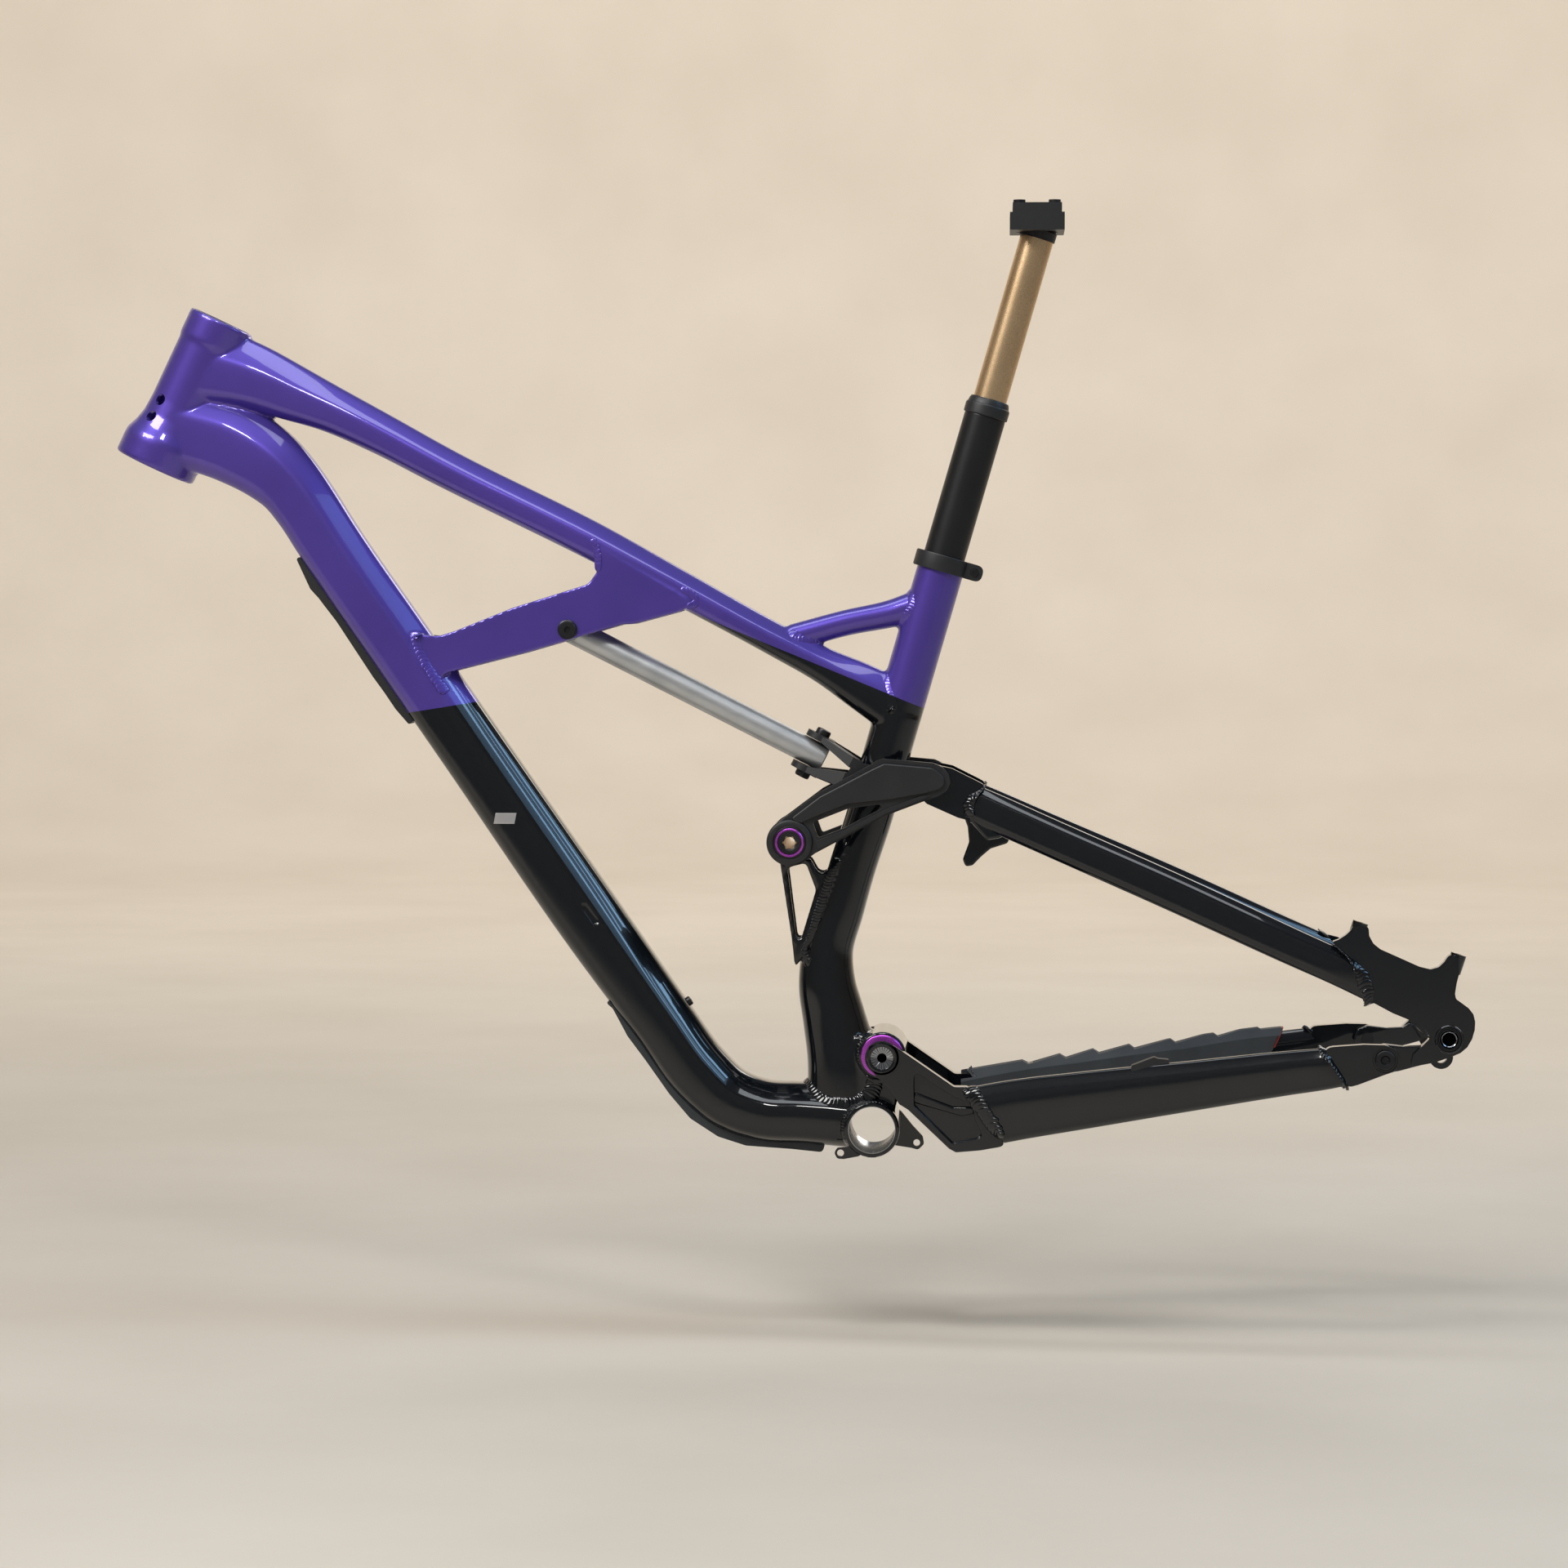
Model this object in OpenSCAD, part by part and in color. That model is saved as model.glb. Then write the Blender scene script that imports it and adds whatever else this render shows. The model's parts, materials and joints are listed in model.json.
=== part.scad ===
// Full-suspension mountain bike frame with its linkage, a rigid strut in the
// shock's place and a dropper seatpost.
// Origin: centre of the bottom bracket shell. +X rearward, +Z up, -Y left side.

/* [Frame geometry] */
// Head tube axis, angle from horizontal
head_angle = 64.6; // [63:0.1:67]
// Head tube length
head_len = 120; // [110:1:130]
// Seat tube axis, tilt from vertical
seat_tilt = 16.2; // [15.5:0.1:17]
// Bottom bracket shell width (threaded standard)
bb_width = 73; // [68:1:73]
// Bottom bracket bore radius
bb_bore_r = 17; // [16.9:0.05:17.2]
// Upper headset bore radius
upper_cup_r = 22; // [21:0.1:22.2]
// Lower headset bore radius
lower_cup_r = 28; // [26:0.1:28.2]
// Seat tube outside radius
seat_tube_r = 17.45; // [17.2:0.05:17.6]
// Tube wall, drawn a little thicker than the real one
wall = 2.2; // [1.8:0.1:3]

/* [Rear end] */
// Space between the dropouts' inner faces
hub_space = 148; // [142:1:157]
// Rear axle hole radius
axle_r = 6; // [6:0.05:6.2]
// Spacing of the brake caliper's post holes
post_spacing = 74.2; // [74:0.1:74.4]
// Thread bore radius of the post holes
post_hole_r = 2.6; // [2.5:0.05:2.7]

/* [Strut and seatpost] */
// Strut tube radius
strut_r = 9.6; // [9:0.1:10.5]
// Strut length behind the front bolt
strut_len = 212.6; // [205:0.1:216]
// Strut slope below horizontal
strut_slope = 26.9; // [26:0.1:27.5]
// Seatpost outer tube radius
post_r = 15.45; // [15.1:0.05:15.5]
// Stanchion radius
stanchion_r = 12.5; // [12:0.1:13]
// Height of the saddle clamp along the post, from the seat tube datum
clamp_s = 372; // [366:1:390]

/* [Hidden] */
$fn = 64;
e = 0.01;              // small overshoot of cutting solids
run = 0.05;            // running clearance of a pin in its bearing
gap = 0.3;             // clearance between moving bodies

// pivots, [x, z]
main_p = [7.8, 55];
horst_p = [371.4, 58.5];
rocker_p = [-60.2, 212.2];
upper_p = [44, 256];
strut_p = [-225.4, 368];
axle_p = [417.6, 73.1];
head_low = [-535.7, 488.4];
seat_p = [21, 314];

// pin radii
main_pin_r = 7.5;
rocker_pin_r = 7.5;
upper_pin_r = 5;
horst_pin_r = 5;
strut_bolt_r = 3;
slack_upper = 3.3;     // oversize of the seatstay eye, where the linkage is open
slack_strut = 4.4;     // oversize of the strut's front eye, likewise

// stack of the upper pivot, distance from the mid plane
yoke_y = [20.5, 27.5];
stay_y = [28, 36];
rocker_y = [36.5, 46];

purple = "mediumslateblue";
black = "#15171b";
satin = "#26282b";

// ---------- helpers ----------

// plate between y0 and y1, drawn in the XZ plane
module slab(y0, y1) {
    translate([0, y1, 0]) rotate([90, 0, 0]) linear_extrude(y1 - y0) children();
}
// the same plate on the left side (side = -1) or the right side (side = 1)
module side_slab(side, near, far) {
    if (side > 0) slab(near, far) children();
    else slab(-far, -near) children();
}
// cylinder along Y at p = [x, z], between y0 and y1
module ycyl(p, r, y0, y1) {
    translate([p[0], y1, p[1]]) rotate([90, 0, 0]) cylinder(r = r, h = y1 - y0);
}
module side_cyl(side, p, r, near, far) {
    if (side > 0) ycyl(p, r, near, far);
    else ycyl(p, r, -far, -near);
}
// frames: head tube axis, seat tube axis, strut axis
module at_head() {
    translate([head_low[0], 0, head_low[1]]) rotate([0, 90 - head_angle, 0]) children();
}
module at_seat(s = 0) {
    translate([seat_p[0], 0, seat_p[1]]) rotate([0, seat_tilt, 0])
        translate([0, 0, s]) children();
}
// local x runs down the strut, local z is its upper side
module at_strut(u = 0) {
    translate([strut_p[0], 0, strut_p[1]]) rotate([0, strut_slope, 0])
        translate([u, 0, 0]) children();
}
function seat_point(s) = [seat_p[0] + s * sin(seat_tilt), seat_p[1] + s * cos(seat_tilt)];

// rounded section of a tube: a superellipse, m = 2 is an oval, larger is squarer
sides = 18;
function power(v, m) = sign(v) * pow(abs(v), 2 / m);
function section(half_w, half_d, m) = [for (i = [0:sides - 1])
    let (a = 360 * (i + 0.5) / sides) [half_w * power(cos(a), m), half_d * power(sin(a), m)]];
// stations are [x, y, z, depth, width]; a ring stands square to the path in XZ
function heading(st, i) = let (a = st[max(i - 1, 0)], b = st[min(i + 1, len(st) - 1)])
    atan2(b[2] - a[2], b[0] - a[0]);
function ring(st, i, m, t) = let (h = heading(st, i), s = st[i])
    [for (q = section(s[4] / 2 - t, s[3] / 2 - t, m))
        [s[0] - q[1] * sin(h), s[1] + q[0], s[2] + q[1] * cos(h)]];
function skin(n, from, flip) = [for (i = [0:n - 2]) for (j = [0:sides - 1])
    let (a = from + i * sides + j, b = from + i * sides + (j + 1) % sides,
         c = b + sides, d = a + sides)
    for (f = flip ? [[a, b, c], [a, c, d]] : [[a, c, b], [a, d, c]]) f];
// a closed solid along the stations
module solid_tube(st, m = 3) {
    n = len(st);
    pts = [for (i = [0:n - 1]) for (p = ring(st, i, m, 0)) p];
    low = [for (j = [0:sides - 1]) j];
    high = [for (j = [0:sides - 1]) (n - 1) * sides + sides - 1 - j];
    polyhedron(pts, concat(skin(n, 0, false), [low], [high]));
}
// a hollow tube, open at both ends
module hollow_tube(st, m = 3, t = wall) {
    n = len(st);
    k = n * sides;
    last = (n - 1) * sides;
    pts = concat([for (i = [0:n - 1]) for (p = ring(st, i, m, 0)) p],
                 [for (i = [0:n - 1]) for (p = ring(st, i, m, t)) p]);
    ends = [for (j = [0:sides - 1]) let (j2 = (j + 1) % sides) for (f = [
        [j, j2, k + j2], [j, k + j2, k + j],
        [last + j, k + last + j2, last + j2], [last + j, k + last + j, k + last + j2]]) f];
    polyhedron(pts, concat(skin(n, 0, false), skin(n, k, true), ends));
}
// stations of a tube on one side of the bike
function on_side(st, side) = [for (s = st) [s[0], side * s[1], s[2], s[3], s[4]]];
// the same route with a section larger by t all round
function grown(st, t) = [for (s = st) [s[0], s[1], s[2], s[3] + 2 * t, s[4] + 2 * t]];

// ---------- tube routes ----------

top_route = [
    [-500, 0, 566, 62, 46], [-462, 0, 556, 50, 44], [-430, 0, 543, 42, 42], [-405, 0, 532.5, 35.5, 41],
    [-366, 0, 513.5, 31, 39], [-320, 0, 489, 29, 38], [-203, 0, 431, 28, 40], [-137, 0, 395.5, 25.5, 38],
    [-70, 0, 359, 24.5, 36], [-36, 0, 341, 27, 34], [-8, 0, 325.5, 35, 33.5], [16, 0, 311, 40, 33]];
down_route = [
    [-520, 0, 521, 62, 50], [-477.8, 0, 507.5, 61, 49], [-444.6, 0, 486.6, 54, 48],
    [-433.5, 0, 475.8, 50, 47], [-421.8, 0, 460.4, 48, 47], [-406.4, 0, 436.4, 47.5, 47],
    [-349.6, 0, 354.1, 47.4, 48], [-301.1, 0, 284.2, 47.6, 50], [-198.5, 0, 136.4, 48.4, 53],
    [-154.5, 0, 75.6, 45.7, 55], [-127.3, 0, 38.6, 46, 56], [-107, 0, 20.6, 45, 57],
    [-83.8, 0, 11.9, 44.3, 58], [-50, 0, 9.8, 44.5, 60], [0, 0, 6, 46, 62]];
seat_low_route = [
    [seat_point(-8)[0], 0, seat_point(-8)[1], 34.9, 34.9],
    [seat_point(-40)[0], 0, seat_point(-40)[1], 34.8, 34.8],
    [-2.7, 0, 230, 34.5, 35], [-16, 0, 190, 35, 36], [-24.5, 0, 160, 35.5, 37.5],
    [-33.5, 0, 131, 38, 39], [-34, 0, 104, 43, 42], [-29, 0, 80, 47, 45], [-23, 0, 50, 52, 50],
    [-22, 0, 14, 54, 52]];
brace_route = [[-60, 0, 362, 20, 20], [-20, 0, 373, 19.5, 20], [14, 0, 380, 21, 22], [34, 0, 386, 24, 24]];
chain_route = [
    [60, 50, 8, 45, 19], [98, 52, 16, 44.5, 19.5], [158, 57, 25.7, 41.5, 20], [229, 65, 36.5, 36.5, 19],
    [300, 75, 47.4, 32, 17], [335, 81, 52.3, 29, 14], [352, 82.5, 55, 26, 9]];
stay_route = [
    [62, 33, 246, 26.5, 12], [84, 34.5, 236.5, 27.5, 17], [130, 42, 216.5, 27.5, 19],
    [221, 57.5, 177, 27.5, 19], [300, 71, 141.3, 26.5, 18], [345, 77, 121, 25.5, 14],
    [372, 78, 107, 24, 9]];

module top_outer() { solid_tube(top_route, 3.2); }
module down_outer() { solid_tube(down_route, 3); }
module seat_low_outer() { solid_tube(seat_low_route, 2.4); }
module seat_core(r = seat_tube_r) { at_seat(-60) cylinder(r = r, h = 190); }
head_outline = [[31, -2], [31, 18], [30.6, 21], [27.3, 28], [24.7, 37], [24, 50], [24, 99], [24.9, 101],
    [24.9, head_len + 2]];
module head_core() {
    at_head() rotate_extrude() polygon(concat([[0, -2]], head_outline, [[0, head_len + 2]]));
}
module bb_core() { ycyl([0, 0], bb_bore_r + 3.5, -40, 40); }

// ---------- front frame ----------

module head_tube() color(purple) difference() {
    intersection() {
        head_core();
        at_head() rotate_extrude($fn = 96) polygon([
            [upper_cup_r, head_len], [24.4, head_len], [25.4, head_len - 1], [33, 40], [33, 3], [30, 0],
            [lower_cup_r, 0], [lower_cup_r, 14], [24, 22], [21.6, 34], [21.6, 105], [upper_cup_r, 105]]);
    }
    // two cable ports on the left of the head tube
    for (z = [38, 54]) at_head() translate([0, 0, z]) rotate([90, 0, -62])
        translate([0, 0, 15]) cylinder(r = 4.2, h = 20);
}
module top_tube() color(purple) difference() {
    hollow_tube(top_route, 3.2);
    head_core();
    seat_core();
    seat_low_outer();
    down_outer();
}
module down_tube() color(purple) difference() {
    hollow_tube(down_route, 3);
    head_core();
    bb_core();
    screw_seats();
}
module seat_tube_upper() color(purple) at_seat(-8) difference() {
    cylinder(r = seat_tube_r, h = 121);
    translate([0, 0, -e]) cylinder(r = post_r + run, h = 122);
    // clamping slot at the back of the top
    translate([0, -1.2, 88]) cube([30, 2.4, 40]);
}
module seat_tube_lower() color(black) difference() {
    hollow_tube(seat_low_route, 2.4);
    down_outer();
    ycyl(main_p, 17.5, -60, 60);
    bb_core();
}
module seat_tube_brace() color(purple) difference() {
    solid_tube(brace_route, 2.6);
    top_outer();
    seat_core();
}
gusset_shape = [[-202.8, 432], [-202.8, 410], [-210, 401.7], [-266, 384.2], [-309, 366],
    [-345, 366], [-330, 326], [-314.7, 336], [-279, 345.1], [-258, 350.5], [-185.4, 371.6],
    [-177, 371.9], [-142.6, 381.2], [-134, 384], [-150, 405]];
module gusset(side) color(purple) difference() {
    side_slab(side, 17, 21.5) polygon(gusset_shape);
    top_outer();
    down_outer();
    ycyl(strut_p, strut_bolt_r, -30, 30);
}
module gusset_left() gusset(-1);
module gusset_right() gusset(1);
// web that ties the two gusset plates together above the strut
module gusset_web() color(purple) difference() {
    slab(-17, 17) polygon([[-330, 362], [-309, 366], [-266, 384.2], [-255, 387.7], [-257, 383],
        [-300, 361], [-318, 352], [-330, 348]]);
    down_outer();
}
module bb_shell() color(black) difference() {
    ycyl([0, 0], bb_bore_r + 3.5, -bb_width / 2, bb_width / 2);
    ycyl([0, 0], bb_bore_r, -bb_width, bb_width);
}
// drilled tabs: one low on the left of the shell, one behind it on the right
module chainguide_tabs() color(black) {
    tab(-1, [-23, -17], [[-26, -13.6], [-20.5, -21.5], [-8, -20], [-4, -14], [-12, -10], [-19, -13]]);
    tab(1, [32, -17], [[14, 12], [21, 6], [29, -4], [36.3, -15], [30.5, -21.4], [8, -19]]);
}
module tab(side, p, neck) difference() {
    side_slab(side, 31, 36) {
        translate(p) circle(r = 4.7);
        polygon(neck);
    }
    ycyl(p, 2.5, -40, 40);
    bb_core();
    down_outer();
}
module main_pivot_housing() color(black) difference() {
    union() {
        ycyl(main_p, 17.5, -37, 37);
        slab(-24, 24) polygon([[-12, 70], [-20, 18], [16, 10], [24, 44]]);
    }
    ycyl(main_p, 14, 28, 40);
    ycyl(main_p, 14, -40, -28);
    ycyl(main_p, 10, -40, 40);
    seat_low_outer_cut();
    down_outer();
    bb_core();
}
module seat_low_outer_cut() difference() {
    seat_low_outer();
    ycyl(main_p, 17.5, -60, 60);
}
module rocker_bracket() color(black) difference() {
    union() {
        ycyl(rocker_p, 13.5, -27, 27);
        for (s = [-1, 1]) side_slab(s, 12, 17.5) difference() {
            polygon([[-70, 205], [-50, 200], [-46, 199], [-41, 190], [-37, 188], [-30, 193], [-24, 203],
                [-19, 212], [-36, 165], [-52, 125], [-57.5, 118], [-60, 140]]);
            polygon([[-63, 192], [-49.5, 195.5], [-42, 175.7], [-53, 139.5], [-56.3, 139.5]]);
        }
    }
    ycyl(rocker_p, rocker_pin_r, -60, 60);
    seat_low_outer();
}
module seat_collar() color(satin) at_seat(101) difference() {
    union() {
        cylinder(r = 21, h = 12);
        translate([14, -7.5, 0]) cube([11, 15, 12]);
        translate([25, 7.5, 6]) rotate([90, 0, 0]) cylinder(r = 6, h = 15);
    }
    translate([0, 0, -e]) cylinder(r = seat_tube_r, h = 13);
    translate([10, -1.2, -1]) cube([30, 2.4, 14]);
    translate([25, 20, 6]) rotate([90, 0, 0]) cylinder(r = 2.5, h = 40);
}
module collar_bolt() color(satin) at_seat(107) {
    translate([25, -7.5, 0]) rotate([90, 0, 0]) socket_head(5, 3, 2);
    translate([25, 7.5, 0]) rotate([90, 0, 0]) cylinder(r = 2.5, h = 15);
}
// bolt head standing on z = 0, with a round socket
module socket_head(r, h, socket) difference() {
    cylinder(r = r, h = h);
    translate([0, 0, h - 2]) cylinder(r = socket, h = 3);
}
module seatpost_outer() color(satin) at_seat(25) difference() {
    cylinder(r = post_r, h = 195);
    translate([0, 0, 4]) cylinder(r = stanchion_r + run, h = 200);
}
module seatpost_seal_head() color(satin) at_seat(220) difference() {
    rotate_extrude() polygon([[stanchion_r + run, 0], [16.6, 0], [16.6, 9], [14.6, 13], [stanchion_r + run, 13]]);
}
module cable_cover() color(satin) difference() {
    slab(-13, 13) polygon([[-428, 421], [-417.4, 398], [-407.7, 386.6], [-362.7, 321.6], [-354, 308.8],
        [-344, 297.3], [-330, 310], [-410, 424]]);
    down_outer();
    screw_seats();
}
module rock_guard() color(satin) difference() {
    slab(-20, 20) polygon([[-198, 92], [-192.5, 87.1], [-181.6, 66.7], [-168.7, 49.5], [-150.6, 23.9],
        [-135.1, 5.8], [-114.5, -7.6], [-93.8, -14.2], [-60.2, -16.5], [-37, -18.8], [-35, -13],
        [-90, 5], [-130, 40], [-180, 100]]);
    down_outer();
    screw_seats();
}
// screws of the covers and the small screw on top of the down tube
module frame_screws() color(satin) for (q = screw_at) at_screw(q) difference() {
    cylinder(r = 3.6, h = 2.6);
    translate([0, 0, 1]) cylinder(r = 1.6, h = 3);
}
module screw_seats() for (q = screw_at) at_screw(q) cylinder(r = 3.6, h = 8);
// each screw: x, z of the bottom of its seat and the direction it points in XZ
screw_at = [[-408.5, 390.5, 214.6], [-353.8, 311.5, 214.6], [-181.5, 71, 214.6], [-46, -15.2, 266],
    [-137.6, 91.2, 34.8]];
module at_screw(q) translate([q[0], 0, q[1]]) rotate([0, 90 - q[2], 0]) children();
module strut_bolt() color(satin) difference() {
    union() {
        ycyl(strut_p, strut_bolt_r, -24, 24);
        ycyl(strut_p, 7, -24, -21.5);
        ycyl(strut_p, 7, 21.5, 24);
    }
    ycyl(strut_p, 2.4, -25, -21);
}
module strut_spacers() color("silver") for (s = [-1, 1]) difference() {
    side_cyl(s, strut_p, 9, strut_r + gap, 17);
    side_cyl(s, strut_p, strut_bolt_r, 5, 20);
}
module rocker_axle() color("silver") difference() {
    union() {
        ycyl(rocker_p, rocker_pin_r, -46, 46);
        ycyl(rocker_p, 5.5, -47.6, 47.6);
    }
    ycyl(rocker_p, 4, -50, 50);
}
module rocker_rings() color("purple") for (s = [-1, 1]) difference() {
    side_cyl(s, rocker_p, 10.5, 46.3, 47.6);
    side_cyl(s, rocker_p, 5.5, 45, 50);
}
module main_bearings() color("silver") for (s = [-1, 1]) difference() {
    side_cyl(s, main_p, 14, 28, 36);
    side_cyl(s, main_p, main_pin_r + run, 27, 38);
}

// ---------- chainstay body ----------

yoke_side = [[-4.2, 51], [4, 41], [13.5, 32], [20.5, 21], [27, 17], [57, -11.5], [62, -14.2], [80, -12.6],
    [99, -9.2], [71, 34], [60.5, 34], [27, 57], [16, 64.5]];
module chainstay_yoke() color(black) difference() {
    union() {
        for (s = [-1, 1]) side_slab(s, 41, 53) {
            polygon(yoke_side);
            translate(main_p) circle(r = 12.5);
        }
        slab(-41, 41) polygon([[29, 43], [31, 53], [55, 36.5], [58, 6], [46, 4], [38, 16]]);
    }
    // pockets milled into the outer faces
    for (s = [-1, 1]) side_slab(s, 46, 60)
        polygon([[31, 46], [31.5, 20], [60, -8], [82, -3], [76, 10], [74, 21]]);
    ycyl(main_p, main_pin_r, -60, 60);
}
module chainstay(side) color(black) difference() {
    hollow_tube(on_side(chain_route, side), 3.4);
    slab(-90, 90) polygon([[64.5, 44], [71, 34], [99, -9.2], [110, -26], [0, -30], [0, 60]]);
    side_slab(side, 70, 95) end_zone();
}
module chainstay_left() chainstay(-1);
module chainstay_right() chainstay(1);
// everything behind the weld between a chainstay tube and its rear end
module end_zone() polygon([[318, 80], [350, 30], [400, 20], [400, 90]]);
module chainstay_end(side) color(black) difference() {
    side_slab(side, 78.1, 87) {
        translate(horst_p) circle(r = 10.8);
        polygon([[326, 67.3], [345, 38.5], [352, 40.5], [371.4, 47.8], [371.4, 69.3], [356, 69.6]]);
    }
    side_cyl(side, horst_p, 9, 70, 90);
}
module chainstay_end_left() chainstay_end(-1);
module chainstay_end_right() chainstay_end(1);
// crests and valleys of the saw-tooth top edge
guard_crests = [[111.2, 43.3], [139.4, 47.9], [164.5, 51.6], [191.8, 54.9], [222.7, 59.1], [254.2, 63.8],
    [286.4, 68.8]];
guard_valleys = [[115.9, 41.8], [144.1, 45.7], [169.2, 49], [195.9, 52.2], [226.8, 56.2], [258.9, 60.5],
    [291.2, 65.6]];
module chainstay_guard() color(satin) difference() {
    intersection() {
        slab(36, 95) polygon(concat([[65, 0], [65, 35.5]],
            [for (i = [0:6]) for (q = [guard_crests[i], guard_valleys[i]]) q], [[308, 67.1], [296, 43]]));
        solid_tube(on_side(grown(chain_route, 5), 1), 3.4);
    }
    solid_tube(on_side(chain_route, 1), 3.4);
    // open below, thin on the inner side and clear of the yoke
    slab(36, 95) polygon([[60, 10], [60, -30], [320, 10], [320, 51]]);
    translate([0, 0, -20]) linear_extrude(120)
        polygon([[60, 30], [60, 39.2], [98, 40.9], [158, 45.5], [229, 54], [300, 65], [320, 68], [320, 30]]);
    slab(36, 54) polygon([[40, 60], [71.5, 34.5], [90, 10], [40, 0]]);
}
module cable_clip() color(black) difference() {
    slab(-66, -56) polygon([[189.5, 44], [189.5, 51.4], [206, 57.8], [209, 56.6], [217, 56], [217, 48]]);
    solid_tube(on_side(chain_route, -1), 3.4);
}
module main_axle() color("silver") difference() {
    ycyl(main_p, main_pin_r, -53, 53);
    ycyl(main_p, 3.5, -60, 60);
}
module main_rings() color("purple") for (s = [-1, 1]) difference() {
    side_cyl(s, main_p, 15.6, 37.3, 41);
    side_cyl(s, main_p, main_pin_r, 36, 42);
}
module main_caps() color(black) for (s = [-1, 1]) difference() {
    side_cyl(s, main_p, 11, 53, 55);
    side_cyl(s, main_p, 3.5, 52, 56);
}
module horst_bearings() color("silver") for (s = [-1, 1]) difference() {
    side_cyl(s, horst_p, 9, 78.6, 86.5);
    side_cyl(s, horst_p, horst_pin_r + run, 77, 88);
}

// ---------- seatstay body ----------

module head_zone() polygon([[40, 275], [84, 275], [86, 257], [70, 242], [72, 228], [70, 205], [30, 230]]);
module seatstay(side) color(black) difference() {
    hollow_tube(on_side(stay_route, side), 3.6);
    slab(-90, 90) head_zone();
    slab(-95, 95) polygon([[324, 152], [333, 143], [352, 126], [362, 100], [362, 60], [420, 60], [420, 152]]);
}
module seatstay_left() seatstay(-1);
module seatstay_right() seatstay(1);
module seatstay_head(side) color(black) difference() {
    union() {
        side_cyl(side, upper_p, 13.5, stay_y[0], stay_y[1]);
        side_slab(side, stay_y[0], stay_y[1])
            polygon([[43, 269.2], [58.5, 266.5], [78, 256.8], [82.5, 253.7], [70, 242], [72, 228],
                [63, 230.3], [36, 242.5], [33, 250]]);
    }
    ycyl(upper_p, upper_pin_r + slack_upper, -60, 60);
}
module seatstay_head_left() seatstay_head(-1);
module seatstay_head_right() seatstay_head(1);
// cross tube between the stays with the fin that hangs from it
module seatstay_bridge() color(black) difference() {
    union() {
        slab(-40, 40) polygon([[72, 228], [74, 240], [92, 234], [97, 216], [84, 214]]);
        slab(-7, 7) polygon([[66, 233], [70, 222], [70.4, 211], [66.5, 198], [69.5, 193.5], [73.4, 195.3],
            [88, 209], [100, 214.4], [97, 226]]);
    }
    for (s = [-1, 1]) {
        solid_tube(on_side(stay_route, s), 3.6);
        side_slab(s, stay_y[0], stay_y[1]) head_zone();
    }
}
drop_in = hub_space / 2;
drop_out = hub_space / 2 + 8;
tongue_y = [69, 77.7];
lower_tongue = [[371.4, 47.9], [382, 49.5], [413, 58], [404, 72], [398, 68], [386, 67.4], [371.4, 69]];
// plate shared by both dropouts, from the seatstay to the axle
drop_plate = [[332.9, 143.3], [352, 126], [362, 100], [377, 92], [399, 83], [404, 74], [392, 62], [390, 53],
    [413, 58], [428.5, 64], [435, 73.2], [436.6, 84], [434, 92], [427.7, 98]];
module dropout(side, outline) color(black) difference() {
    union() {
        side_slab(side, drop_in, drop_out) polygon(outline);
        side_slab(side, tongue_y[0], tongue_y[1]) {
            translate(horst_p) circle(r = 10.6);
            polygon(lower_tongue);
        }
        children();
    }
    side_cyl(side, axle_p, 10.5, 60, 100);
    side_cyl(side, horst_p, horst_pin_r, 60, 100);
}
post_mid = [389.4, 145.9];
post_tilt = 18;
function post_p(k) = post_mid + k * post_spacing / 2 * [cos(post_tilt), -sin(post_tilt)];
module at_post(k) translate([post_p(k)[0], -76, post_p(k)[1]]) rotate([0, post_tilt, 0]) children();
module dropout_left() difference() {
    dropout(-1, concat(drop_plate, [[423, 102], [424, 118], [419.4, 133.6], [417, 131], [411, 126.4],
        [404, 122.8], [398.8, 124], [365, 140.5], [361, 146], [359.7, 153.3], [349, 154], [341, 145.5]]))
        for (k = [-1, 1]) at_post(k) translate([0, 0, -14]) cylinder(r = 5.8, h = 14);
    for (k = [-1, 1]) at_post(k) translate([0, 0, -14 - e]) cylinder(r = post_hole_r, h = 15);
}
module dropout_right()
    dropout(1, concat(drop_plate, [[414, 104], [398.8, 112], [365, 128], [344, 140]]));
module derailleur_hanger() color("dimgray") difference() {
    slab(drop_out, drop_out + 5) {
        translate(axle_p) circle(r = 13);
        translate([428, 44]) circle(r = 9);
        polygon([[405.5, 68], [419.5, 41], [436, 48], [430.5, 75]]);
    }
    side_cyl(1, axle_p, 10.5, 60, 100);
    ycyl([428, 44], 4.6, 80, 100);
}
// left: plain bush; right: threaded nut, both with the axle's bore
module axle_inserts() color("dimgray") for (s = [-1, 1]) difference() {
    side_cyl(s, axle_p, 10.5, drop_in, drop_out + (s > 0 ? 5 : 1.5));
    side_cyl(s, axle_p, axle_r, 60, 100);
}
module horst_bolts() color("dimgray") for (s = [-1, 1]) difference() {
    union() {
        side_cyl(s, horst_p, horst_pin_r, tongue_y[0], 87.4);
        side_cyl(s, horst_p, 6.9, 87.4, 89.2);
    }
    side_cyl(s, horst_p, 2.5, 84, 90);
}

// ---------- rocker, yoke, strut ----------

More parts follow.
